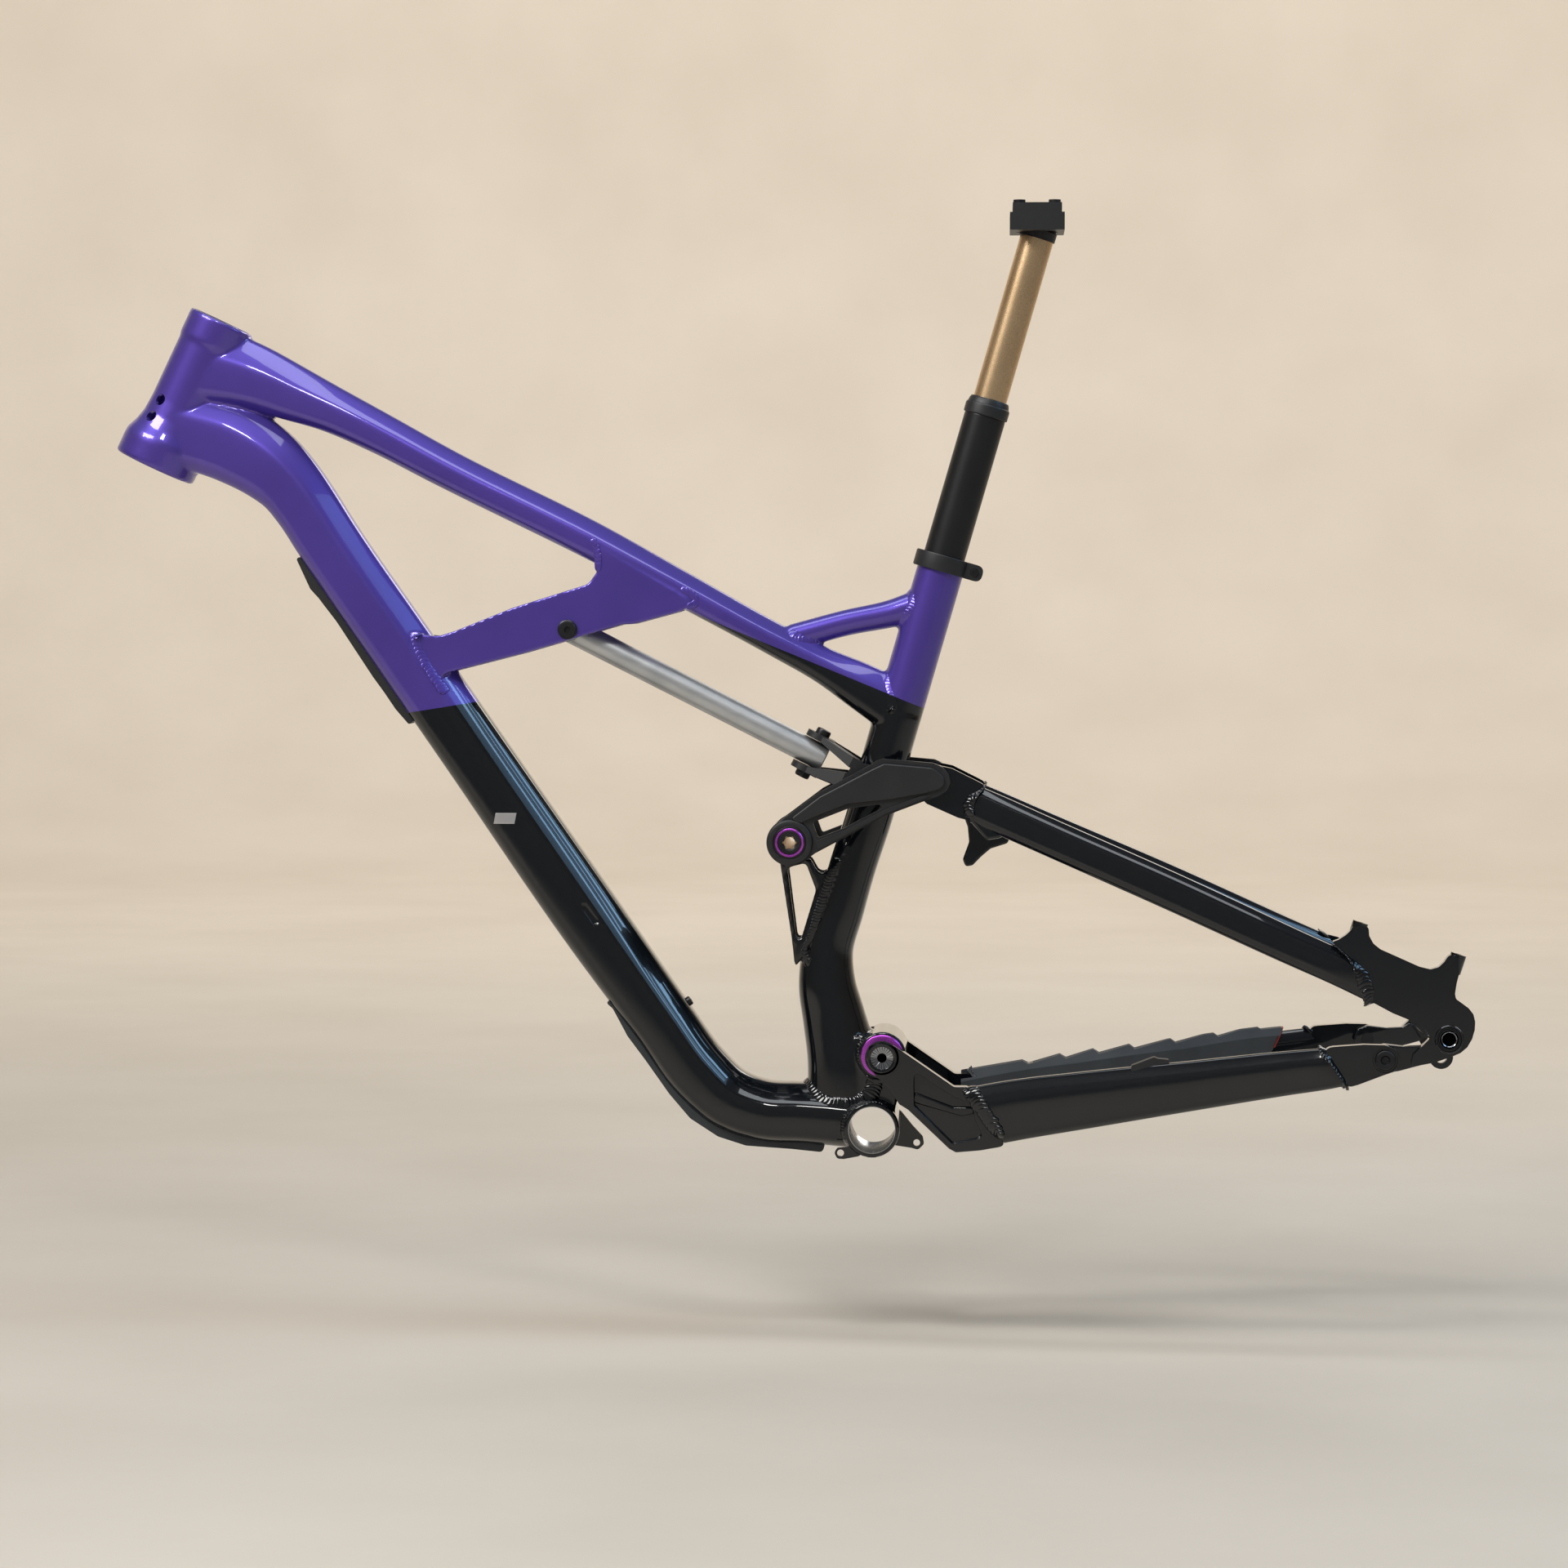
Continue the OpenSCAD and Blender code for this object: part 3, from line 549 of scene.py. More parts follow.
def bump(tree, shader, source, strength):
    heights = {"Strength": strength, "Distance": BUMP_DEPTH, "Height": source}
    feed(tree, shader, {"Normal": add_node(tree, "Bump", heights).outputs["Normal"]})


def span(tree, source, low, high, start=0.0, end=1.0):
    """Maps start..end of the source to low..high."""
    limits = {"Value": source, "From Min": start, "From Max": end, "To Min": low, "To Max": high}
    return add_node(tree, "MapRange", limits).outputs["Result"]


def simple(name, dark, light, rough, metallic=0.0, coat=0.0, coat_rough=0.05, grain=900.0, strength=0.1,
           stretch=None, patch=40.0):
    """Material with a slow change of colour, grain in the surface and uneven roughness."""
    mat, tree, shader, place_in = nodes_of(name)
    if coat:
        feed(tree, shader, {"Specular IOR Level": LOW_SPECULAR})
    slow = noise(tree, place_in, patch)
    fine = noise(tree, place_in, grain, 2.0, stretch)
    feed(tree, shader, {"Metallic": metallic, "Coat Weight": coat, "Coat Roughness": coat_rough,
                        "Base Color": ramp(tree, slow, (0.3, dark), (0.7, light)),
                        "Roughness": span(tree, fine, *rough)})
    bump(tree, shader, fine, strength)
    return mat


def split_paint(name):
    """Candy purple over gloss black, parted along the lines of the real frame, with a painted sky
    reflection on faces that point up.
    """
    mat, tree, shader, place_in = nodes_of(name)

    def math_node(operation, *values, clamp=False):
        node = add_node(tree, "Math", dict(enumerate(values)), operation=operation, use_clamp=clamp)
        return node.outputs[0]

    def mix_colour(factor, a, b, blend="MIX"):
        node = add_node(tree, "Mix", {0: factor, 6: a, 7: b}, data_type="RGBA", blend_type=blend)
        return node.outputs[2]

    at = add_node(tree, "SeparateXYZ", {0: place_in}).outputs
    front, rear = (math_node("MULTIPLY_ADD", at["X"], *line) for line in (PAINT_FRONT, PAINT_REAR))
    is_rear = math_node("GREATER_THAN", at["X"], PAINT_STEP)
    line = add_node(tree, "Mix", {0: is_rear, 2: front, 3: rear}).outputs[0]
    above = math_node("SUBTRACT", at["Z"], line)
    mask = math_node("MULTIPLY_ADD", above, PAINT_EDGE, 0.5, clamp=True)

    normal = add_node(tree, "NewGeometry", {}).outputs["Normal"]
    upward = span(tree, add_node(tree, "SeparateXYZ", {0: normal}).outputs["Z"], 0.0, 1.0, 0.1, 0.95)
    sides = ramp(tree, noise(tree, place_in, 14.0), (0.3, PURPLE_DARK), (0.7, PURPLE))
    flecks = ramp(tree, noise(tree, place_in, 2600.0, 2.0), (0.3, (0.86, 0.86, 0.86)),
                  (0.75, (1.0, 1.0, 1.0)))
    # painted sky reflection: faces that point up blend from the purple to a lighter, bluer purple
    candy_with_sky_sheen = mix_colour(upward, sides, (*PURPLE_PAINTED_SKY_SHEEN, 1))
    flakes_and_sky_sheen = mix_colour(1.0, candy_with_sky_sheen, flecks, "MULTIPLY")
    feed(tree, shader, {"Base Color": mix_colour(mask, (*BLACK_WITH_PAINTED_SKY_TINT, 1), flakes_and_sky_sheen),
                        "Metallic": span(tree, mask, 0.05, 0.55),
                        "Roughness": span(tree, mask, 0.20, 0.36),
                        "Specular IOR Level": LOW_SPECULAR, "Coat Weight": 1.0, "Coat Roughness": 0.035})
    bump(tree, shader, noise(tree, place_in, 420.0, 1.0), 0.035)
    return mat


paint = split_paint("split_paint")
# gloss black whose bluish tint is a painted sky reflection
black = simple("gloss_black", BLACK_WITH_PAINTED_SKY_TINT, (0.0038, 0.0052, 0.0074), (0.16, 0.24), coat=1.0, coat_rough=0.03,
               grain=420.0, strength=0.035)
satin = simple("satin_black", (0.010, 0.0108, 0.0125), (0.014, 0.0148, 0.0165), (0.36, 0.50),
               grain=3200.0, strength=0.12)
post_black = simple("post_black", (0.010, 0.0105, 0.012), (0.013, 0.0135, 0.015), (0.28, 0.40),
                    metallic=0.3, grain=2600.0, strength=0.06)
rubber = simple("guard_rubber", (0.026, 0.031, 0.036), (0.036, 0.042, 0.048), (0.55, 0.75), grain=2200.0,
                strength=0.25)
plastic = simple("cover_plastic", (0.010, 0.0105, 0.012), (0.015, 0.0155, 0.017), (0.42, 0.6),
                 grain=1800.0, strength=0.18)
brushed = simple("brushed_tube", (0.45, 0.465, 0.48), (0.58, 0.595, 0.61), (0.34, 0.52), metallic=0.85,
                 grain=260.0, strength=0.10, stretch=((0.04, 1.0, 1.0), (0.0, -STRUT_SLOPE, 0.0)))
machined = simple("machined_metal", (0.55, 0.56, 0.57), (0.68, 0.69, 0.70), (0.18, 0.32), metallic=1.0,
                  grain=1500.0, strength=0.05)
gold = simple("gold_anodised", (0.68, 0.47, 0.27), (0.76, 0.54, 0.32), (0.22, 0.34), metallic=0.9,
              grain=2400.0, strength=0.03)
violet = simple("violet_anodised", (0.50, 0.08, 0.62), (0.60, 0.12, 0.72), (0.22, 0.32), metallic=0.85,
                grain=2000.0, strength=0.03)
dark_bolt = simple("dark_bolt", (0.020, 0.020, 0.022), (0.032, 0.032, 0.035), (0.28, 0.42), metallic=0.6,
                   grain=1800.0, strength=0.08)
accent = simple("silver_accent", (0.42, 0.42, 0.43), (0.48, 0.48, 0.49), (0.3, 0.42), metallic=0.6,
                grain=1500.0, strength=0.02)
polished = simple("polished_dark", (0.26, 0.27, 0.29), (0.36, 0.37, 0.39), (0.10, 0.20), metallic=1.0,
                  grain=1500.0, strength=0.03)
matte = simple("matte_black", (0.004, 0.0045, 0.005), (0.006, 0.0065, 0.007), (0.6, 0.7), strength=0.05)
matte.node_tree.nodes["Principled BSDF"].inputs["Specular IOR Level"].default_value = 0.0
red = simple("red_edge", (0.28, 0.015, 0.012), (0.34, 0.02, 0.015), (0.4, 0.5), grain=1500.0,
             strength=0.05)

# ---------- front frame ----------

down_section = closed_section(DOWN_SECTION)
top_section = closed_section(TOP_SECTION)
seat_section = oval_section(2.3)
round_section = oval_section(2.05)
down_rings = rings_of(DOWN_ROUTE, down_section)
top_rings = rings_of(TOP_ROUTE, top_section)
seat_rings = rings_of(SEAT_LOW_ROUTE, seat_section)
brace_rings = rings_of(BRACE_ROUTE, round_section)
head_axis = (math.cos(HEAD_ANGLE), 0, math.sin(HEAD_ANGLE))
seat_axis = (math.sin(SEAT_TILT), 0, math.cos(SEAT_TILT))
head_origin = mid(HEAD)
seat_origin = mid(SEAT)
strut_axis = (math.cos(STRUT_SLOPE), 0, -math.sin(STRUT_SLOPE))
strut_origin = mid(STRUT)

down_solid = loft("down_solid", down_rings)
top_solid = loft("top_solid", top_rings)
seat_low_solid = loft("seat_low_solid", seat_rings)
brace_solid = loft("brace_solid", brace_rings)
head_solid = lathe("head_solid", [
    (0, 0.2), (29.6, 0.2), (31, 1.6), (31, 17), (30.4, 21), (27.3, 28), (24.9, 37), (24, 50), (24, 98),
    (24.9, 101), (24.9, 118.8), (24.0, 120), (0, 120)], head_origin, head_axis)
seat_up_solid = rod(seat_origin, seat_axis, 17.45, -12, 113, "seat_up_solid")
shell_solid = cyl((0, 0), 20.5, -36.5, 36.5, "shell_solid")
pivot_solid = cyl(MAIN, 17.5, -37, 37, "pivot_solid")
boss_solid = cyl(ROCKER, 13.5, -27, 27, "boss_solid")
shell_tree = tree_of(shell_solid)
down_tree, top_tree = tree_of(down_solid), tree_of(top_solid)
seat_up_tree = tree_of(seat_up_solid)

SKIN_VOXEL = 1.35
PORT_ANGLE = math.radians(-35)          # cable ports, turned about the head tube from its left side
PORT_HEIGHTS = (34.7, 48.4)
PORT_RADIUS = 4.3
GUSSET = [[-202.8, 429], [-202.8, 412], [-210, 401.7], [-266, 384.2], [-309, 367], [-322, 363],
          [-345, 366], [-330, 326], [-314.7, 336], [-279, 345.1], [-258, 350.5], [-185.4, 371.6],
          [-177, 371.9], [-142.6, 381.2], [-134, 385], [-137, 391], [-150, 398.5]]
WEB = [[-330, 360], [-309, 364], [-266, 383], [-255, 386.5], [-257, 382], [-300, 361], [-318, 352],
       [-330, 348]]
BRACKET = [[-70, 205], [-50, 200], [-46, 199], [-41, 190], [-37, 188], [-30, 193], [-24, 203],
           [-19, 212], [-36, 165], [-52, 125], [-57.5, 118], [-60, 140]]
BRACKET_WINDOW = [[-63, 192], [-49.5, 195.5], [-42, 175.7], [-53, 139.5], [-56.3, 139.5]]
pieces = [down_solid, top_solid, seat_low_solid, brace_solid, head_solid, seat_up_solid, shell_solid,
          pivot_solid, boss_solid, plate("web", WEB, -17.5, 17.5, corner=2),
          plate("pivot_web", [[-12, 70], [-20, 18], [16, 10], [24, 44]], -24, 24, corner=3)]
for s in (-1, 1):
    pieces.append(side_plate("gusset", GUSSET, s, 15, 20.4, corner=8))
    hole = side_plate("window", BRACKET_WINDOW, s, 10, 19, corner=2.5)
    pieces.append(side_plate("bracket", BRACKET, s, 11.7, 17.5, corner=4, holes=[hole]))
weldment = join("frame_weldment", pieces)
remesh(weldment, SKIN_VOXEL)
port_dir = Matrix.Rotation(PORT_ANGLE, 3, Vector(head_axis)) @ Vector((0, -1, 0))
# bores of the head tube, seat tube, shell, main pivot and rocker, then ports, slot and dimple
cutters = [
    rod(head_origin, head_axis, 22, 105, 122), rod(head_origin, head_axis, 21.6, -5, 107),
    rod(head_origin, head_axis, 28, -5, 14), rod(seat_origin, seat_axis, 15.6, 20, 130),
    cyl((0, 0), 17.4, -40, 40), cyl(MAIN, 14.2, -40, -28), cyl(MAIN, 14.2, 28, 40),
    cyl(MAIN, 10, -30, 30), cyl(ROCKER, 7.5, -40, 40)]
for along in PORT_HEIGHTS:
    base = Vector(head_origin) + Vector(head_axis) * along
    cutters.append(rod(base, port_dir, PORT_RADIUS, 15, 35, segments=48))
cutters.append(at_seat(plate("slot", [[0, 0], [40, 0], [40, 40], [0, 40]], -1.2, 1.2, corner=0), 88))
dimple = rod((-208, -29.9, 158.5), (0.574, 0, -0.819), 5.2, -11, 11, "dimple", 48)
soften(dimple, 4.4, 5, 30)
cutters.append(dimple)
skin = tree_of(weldment)
subtract(weldment, cutters)
place(dress(weldment, paint, 48), "front_frame", "head_tube", "top_tube", "down_tube", "seat_tube_upper",
      "seat_tube_lower", "seat_tube_brace", "gusset_left", "gusset_right", "gusset_web", "bb_shell",
      "main_pivot_housing", "rocker_bracket", slot="purple_paint")

# bare threads inside the bottom bracket shell
THREAD_PITCH, THREAD_COUNT = 2.5, 29
threads = []
for i in range(THREAD_COUNT):
    threads += [(16.95, -36.3 + i * THREAD_PITCH), (17.45, -35.1 + i * THREAD_PITCH)]
liner = lathe("bb_threads", threads + [(18.2, 36.4), (18.2, -36.4)], (0, 0, 0), (0, 1, 0), machined,
              sharp=25)
place(liner, "front_frame", slot="bare_aluminium")
for name, r, low, high in (("upper_cup_seat", 22, 105.2, 119.6), ("lower_cup_seat", 28, 0.5, 13.8)):
    ring = [(r - 0.3, low), (r + 0.3, low), (r + 0.3, high), (r - 0.3, high)]
    cup = lathe(name, ring, head_origin, head_axis, machined)
    place(cup, "front_frame", slot="bare_aluminium")


def weld(name, loop, body="front_frame", mat=None, tree=None, keep=None, slot="black_paint", **sizes):
    """Bead along a loop. With keep, only along the run of the loop where it says yes."""
    if keep:
        flags = [keep(p) for p in loop]
        start = next(i for i in range(len(loop)) if not flags[i])
        order = [(start + i) % len(loop) for i in range(len(loop))]
        loop = [loop[i] for i in order if flags[i]]
        sizes["closed"] = False
    obj = bead(name, loop, mat or paint, tree or skin, **sizes)
    place(obj, body, slot=slot)


def line_at(y, path):
    """Path drawn in XZ at a given Y, in metres."""
    return [Vector((x, y, z)) * MM for x, z in path]


def arc_at(y, p, r, start, end, count):
    """Arc about p = (x, z), from start to end degrees."""
    return line_at(y, [(p[0] + r * math.cos(a), p[1] + r * math.sin(a))
                       for a in np.linspace(math.radians(start), math.radians(end), count)])


# weld beads of the front frame
for name, loop, width, height, pitch in (
        ("weld_brace_seat", junction(brace_rings, seat_up_tree), 4.7, 1.3, 2.7),
        ("weld_brace_top", junction(brace_rings, top_tree, False), 6.0, 1.3, 2.7),
        ("weld_top_seat", junction(top_rings, seat_up_tree), 3.8, 0.8, 2.8)):
    weld(name, loop, width=width, height=height, pitch=pitch, slot="purple_paint")
weld("weld_seat_down", junction(seat_rings, down_tree), width=6.8, height=2.0, pitch=3.0)
weld("weld_down_shell", junction(down_rings, shell_tree), width=4.6, height=1.6, pitch=2.5)
for s, lr in SIDES:
    weld(f"weld_pivot_{lr}", arc_at(s * 24.6, MAIN, 17.6, 118, 262, 40), width=4.8, height=1.9,
         pitch=2.4, closed=False)
    weld(f"weld_shell_{lr}", arc_at(s * 30.5, (0, 0), 20.8, 60, 190, 50), width=3.8, height=1.6,
         pitch=2.4, closed=False)
    edge = [(-27, 199), (-33, 182), (-38.5, 165), (-44, 146), (-48, 132), (-50.5, 120)]
    weld(f"weld_bracket_{lr}", line_at(s * 17.6, edge), width=3.6, height=0.9, pitch=2.3, closed=False)
    for tag, width, path in (
            ("toe", 4.6, [(-316, 322), (-324, 331), (-331, 343), (-337, 355), (-340, 367), (-334, 372)]),
            ("front", 2.8, [(-206, 434), (-204, 429), (-203, 423), (-203, 417), (-204, 412)]),
            ("tip", 2.8, [(-140, 398), (-133, 396), (-129, 391), (-130, 386), (-136, 383.5)])):
        weld(f"weld_{tag}_{lr}", line_at(s * 21, path), width=width, height=0.75, pitch=3.0,
             closed=False,
             slot="purple_paint")

# drilled tabs for a chain guide
TABS = {-1: ((-23, -17), [(-27.6, -17), (-25.5, -21.3), (-20.5, -21.5), (-10, -19.5), (-4, -16),
                          (-12, -10), (-19, -13), (-26, -13.6)]),
        1: ((32, -17), [(14, 12), (21, 6), (29, -4), (36.5, -12), (37.6, -18), (33, -22.4), (28, -21),
                        (8, -18)])}
for s, ((px, pz), outline) in TABS.items():
    tab = side_plate("tab", outline, s, 31, 36, corner=3)
    subtract(tab, [side_cyl((px, pz), 2.5, s, 29, 38, segments=40), cyl((0, 0), 20.3, -40, 40)])
    soften(tab, 0.7, 2)
    dress(tab, black)
    tab.name = f"chainguide_tab_{'lr'[s > 0]}"
    place(tab, "front_frame", *(["chainguide_tabs"] if s < 0 else []), slot="black_paint")

# silver slanted mark on the down tube, plain: a small sheet laid on the skin
MARK_COLS, MARK_ROWS = 12, 6
MARK_CORNER, MARK_WIDTH, MARK_TALL, MARK_SLANT, MARK_LIFT = (-280.0, 224.6), 15.5, 8, 1.6, 0.18
mark = []
for i in range(MARK_COLS + 1):
    for j in range(MARK_ROWS + 1):
        x = MARK_CORNER[0] + MARK_WIDTH * i / MARK_COLS + MARK_SLANT * j / MARK_ROWS
        z = MARK_CORNER[1] + MARK_TALL * j / MARK_ROWS
        hit = skin.ray_cast(Vector((x, -60, z)) * MM, Vector((0, 1, 0)))
        mark.append(hit[0] / MM + hit[1] * MARK_LIFT)
row = MARK_ROWS + 1
quads = [(i * row + j, (i + 1) * row + j, (i + 1) * row + j + 1, i * row + j + 1)
         for i in range(MARK_COLS) for j in range(MARK_ROWS)]
accent_obj = new_object("down_tube_mark", mark, quads, accent)
modify(accent_obj, "SOLIDIFY", thickness=0.3 * MM, offset=-1)
bake_modifiers(accent_obj)
place(accent_obj, "front_frame", slot="bare_aluminium")


def moulded(name, outline, half, mat, corner=2.0, bevel=0.9):
    """Cover that wraps the down tube: an extruded outline with the tube taken out of it."""
    obj = plate(name, outline, -half, half, corner=corner)
    subtract(obj, [loft("core", rings_of(DOWN_ROUTE, down_section, grow=0.05))])
    soften(obj, bevel, 2, 35)
    return dress(obj, mat, 50)


COVER = [[-428, 421], [-417.4, 398], [-411, 391], [-407.7, 386.6], [-398, 374], [-371, 333],
         [-362.7, 321.6], [-354, 308.8], [-344, 297.3], [-330, 310], [-410, 424]]
ROCK_GUARD = [[-198, 92], [-192.5, 87.1], [-181.6, 66.7], [-168.7, 49.5], [-150.6, 23.9], [-135.1, 5.8],
              [-114.5, -7.6], [-93.8, -14.2], [-60.2, -16.5], [-37, -18.8], [-35, -13], [-90, 5],
              [-130, 40], [-180, 100]]
cover = moulded("cable_cover", COVER, 13, plastic)
place(cover, "front_frame", "cable_cover", slot="cover_plastic")
guard = moulded("rock_guard", ROCK_GUARD, 17, rubber, corner=7, bevel=1.0)
place(guard, "front_frame", "rock_guard", slot="guard_rubber")


def bolt(name, origin, axis, r, height, socket, body, flange=0.0):
    """Button or cap head with a hexagon socket, standing on origin."""
    profile = [(0, -0.6), (r + flange, -0.6), (r + flange, 0.5), (r, 0.9), (r, height * 0.7),
               (r * 0.93, height * 0.92), (r * 0.8, height), (0, height)]
    obj = lathe(name, profile, origin, axis, segments=48, sharp=30)
    z = Vector(axis).normalized()
    x = z.orthogonal().normalized()
    y = z.cross(x)
    hexagon = [(x * math.cos(a) + y * math.sin(a)) * socket + Vector(origin)
               for a in np.linspace(0, 2 * math.pi, 6, endpoint=False)]
    subtract(obj, [solid("hex", [c + z * height * 0.25 for c in hexagon],
                         [c + z * (height + 2) for c in hexagon])])
    place(dress(obj, dark_bolt, 30), body, slot="dark_metal")
    return obj


SCREWS = [(-408.5, 390.5, 214.6), (-353.8, 311.5, 214.6), (-181.5, 71, 214.6), (-46, -15.2, 266),
          (-137.6, 91.2, 34.8)]
for i, (x, z, angle) in enumerate(SCREWS):
    a = math.radians(angle)
    obj = bolt(f"frame_screw_{i}", (x, 0, z), (math.cos(a), 0, math.sin(a)), 3.5, 2.6, 1.5,
               "front_frame")
    if i == 0:
        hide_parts("frame_screws")

# strut bolt with its washer heads
for s, tag in SIDES:
    obj = bolt(f"strut_bolt_{tag}", (STRUT[0], s * 21.6, STRUT[1]), (0, s, 0), 6.4, 2.3, 2.6,
               "front_frame", flange=0.8)
    if s < 0:
        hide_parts("strut_bolt")
shank = cyl(STRUT, 3, -21, 21, "strut_shank", segments=32)
shank.data.materials.append(machined)
place(shank, "front_frame", slot="bare_aluminium")

# seat collar
collar = lathe("seat_collar", [(17.6, 101), (20.2, 101), (20.9, 101.8), (20.9, 112.2), (20.2, 113),
                               (17.6, 113)],
               seat_origin, seat_axis, satin)
ear = plate("ear", [[14, 0], [31, 0], [31, 12], [14, 12]], -10.5, 10.5, corner=5.8)
boolean(collar, [at_seat(ear, 101)], "UNION")
slit = plate("slit", [[10, -2], [40, -2], [40, 18], [10, 18]], -1.2, 1.2, corner=0)
subtract(collar, [at_seat(slit, 101), rod(seat_origin, seat_axis, 17.5, 90, 120)])
soften(collar, 0.5, 2, 45)
place(dress(collar, satin, 50), "front_frame", "seat_collar", slot="satin_black")
ear_mid = Vector((math.cos(SEAT_TILT), 0, -math.sin(SEAT_TILT))) * 25
ear_mid += Vector(seat_origin) + Vector(seat_axis) * 107
head = bolt("collar_bolt_head", ear_mid + Vector((0, -10.4, 0)), (0, -1, 0), 3.0, 0.7, 1.7,
            "front_frame")
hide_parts("collar_bolt")

# telescopic seatpost
for name, profile, mat, body, node, slot in (
        ("seatpost_outer", [(12.7, 30), (15.45, 30), (15.45, 219), (15.1, 220), (12.7, 220)],
         post_black, "front_frame", "seatpost_outer", "satin_black"),
        ("seatpost_seal", [(12.65, 220), (16.1, 220), (16.6, 220.6), (16.6, 227), (16.1, 228),
                           (15.6, 228.4), (15.0, 231), (14.2, 232.6), (13.2, 233), (12.65, 233)],
         satin, "front_frame", "seatpost_seal_head", "satin_black"),
        ("stanchion_tube", [(10.6, 165.5), (12.5, 165.5), (12.5, 355.6), (10.6, 355.6)],
         gold, "stanchion", "stanchion", "gold_anodised")):
    place(lathe(name, profile, seat_origin, seat_axis, mat), body, node, slot=slot)

# rocker axle, its dark faces and violet rings
for s, tag in SIDES:
    ring = [(8.7, 46.3), (10.5, 46.3), (10.5, 47.1), (10.1, 47.5), (9.1, 47.5), (8.7, 47.1)]
    turned(f"rocker_ring_{tag}", ring, ROCKER, s, violet, "front_frame", "rocker_rings",
           "purple_anodised")
    face = lathe(f"rocker_face_{tag}", [(4.2, 46.3), (8.6, 46.3), (8.6, 47.3), (8.3, 47.6), (6.4, 47.6),
                                        (6.1, 47.4), (5.3, 47.4), (4.9, 47.1), (4.2, 46.7)],
                 mid(ROCKER), (0, s, 0))
    lobes = [side_cyl((ROCKER[0] + 4.2 * math.cos(i * math.pi / 3),
                       ROCKER[1] + 4.2 * math.sin(i * math.pi / 3)),
                      1.0, s, 44, 50, "lobe", 20) for i in range(6)]
    subtract(face, [join("lobes", lobes)])
    place(dress(face, dark_bolt), "front_frame", slot="dark_metal")
axle = lathe("rocker_axle_tube", [(4.1, -46.2), (7.4, -46.2), (7.4, 46.2), (4.1, 46.2)],
             mid(ROCKER), (0, 1, 0), gold)
place(axle, "front_frame", "rocker_axle", slot="bearing_steel")

# ---------- chainstays ----------

chain_section = closed_section(CHAIN_SECTION)
stay_section = closed_section(STAY_SECTION)
YOKE = [[-4.2, 51], [4, 41], [13.5, 32], [20.5, 21], [27, 17], [57, -11.5], [62, -14.2], [80, -12.6],
        [99, -9.2], [71, 34], [60.5, 34], [27, 57], [16, 64.5], [8, 67.5], [-2, 64]]
POCKET = [[31, 46], [31.5, 20], [60, -8], [82, -3], [76, 10], [74, 21], [62, 26], [50, 33]]
RIB = [[30, 22], [66, 12], [76, 14], [75, 19], [60, 19], [31, 30]]
yoke_parts = []
for s in (-1, 1):
    arm = side_plate("arm", YOKE, s, 41, 53, corner=4)
    subtract(arm, [side_plate("pocket", POCKET, s, 47, 60, corner=4)])
    soften(arm, 1.6, 3, 35)
    rib = side_plate("rib", RIB, s, 46, 49.5, corner=3, bevel=1.5)
    yoke_parts += [arm, rib, side_cyl(MAIN, 12.5, s, 41, 53, "hub")]
yoke_bridge = plate("yoke_bridge", [[29, 43], [31, 53], [55, 36.5], [58, 6], [46, 4], [38, 16]], -42, 42,
                    corner=3, bevel=1.5)
place(dress(yoke_bridge, matte), "chainstay", slot="black_paint")
yoke = join("chainstay_yoke", yoke_parts, black)
place(yoke, "chainstay", "chainstay_yoke", slot="black_paint")


def stay_tube(name, rings, front, back):
    """Tube trimmed at both ends by plates drawn in XZ."""
    obj = loft(name, rings)
    subtract(obj, [plate("end", outline, -95, 95, corner=0) for outline in (front, back)])
    return dress(obj, black)


def end_loop(rings, outline, from_end):
    """Line where a tube meets its end plate."""
    probe = plate("probe", outline, -95, 95, corner=0)
    loop = junction(rings, tree_of(probe), from_end)
    bpy.data.objects.remove(probe)
    return loop


CHAIN_FRONT = [[64.5, 44], [71, 34], [99, -9.2], [110, -26], [0, -30], [0, 60]]
CHAIN_BACK = [[318, 80], [326, 67.3], [345, 38.5], [355, 20], [400, 20], [400, 90]]
END = [[326, 67.3], [345, 38.5], [352, 40.5], [371.4, 47.9], [379, 50.5], [382.3, 58.5], [379, 66.5],
       [371.4, 69.3], [356, 69.6]]
for s, tag in NAMED_SIDES:
    rings = rings_of(CHAIN_ROUTE, chain_section, side=s)
    tube = stay_tube(f"chainstay_tube_{tag}", rings, CHAIN_FRONT, CHAIN_BACK)
    place(tube, "chainstay", f"chainstay_{tag}", slot="black_paint")
    tree = tree_of(tube)
    end = side_plate(f"chainstay_end_{tag}", END, s, 78.1, 87, mat=black, corner=5,
                     holes=[side_cyl(HORST, 9, s, 70, 90)])
    soften(end, 1.4, 3, 40)
    place(end, "chainstay", f"chainstay_end_{tag}", slot="black_paint")
    weld(f"weld_chain_front_{tag}", end_loop(rings, CHAIN_FRONT, False), "chainstay", black, tree,
         width=6.4, height=1.9, pitch=3.1, keep=lambda p: p.z > -0.002)
    weld(f"weld_chain_back_{tag}", end_loop(rings, CHAIN_BACK, True), "chainstay", black, tree,
         width=4.6, height=1.6, pitch=2.6, keep=lambda p, s=s: s * p.y > 0.076)

# saw-toothed guard on the right chainstay
CRESTS = [[111.2, 43.3], [139.4, 47.9], [164.5, 51.6], [191.8, 54.9], [222.7, 59.1], [254.2, 63.8],
          [286.4, 68.8]]
VALLEYS = [[115.9, 40.8], [144.1, 44.9], [169.2, 48.4], [195.9, 51.7], [226.8, 56], [258.9, 60.5],
           [291.2, 65.6]]
INNER = [(60, 39.2), (98, 40.9), (158, 45.5), (229, 54), (300, 65), (320, 68)]
LOW = [[60, 10], [60, -30], [320, 10], [320, 51]]


def prism(name, plan, z0, z1):
    """Upright solid over a plan in XY."""
    return solid(name, [(x, y, z0) for x, y in plan], [(x, y, z1) for x, y in plan])


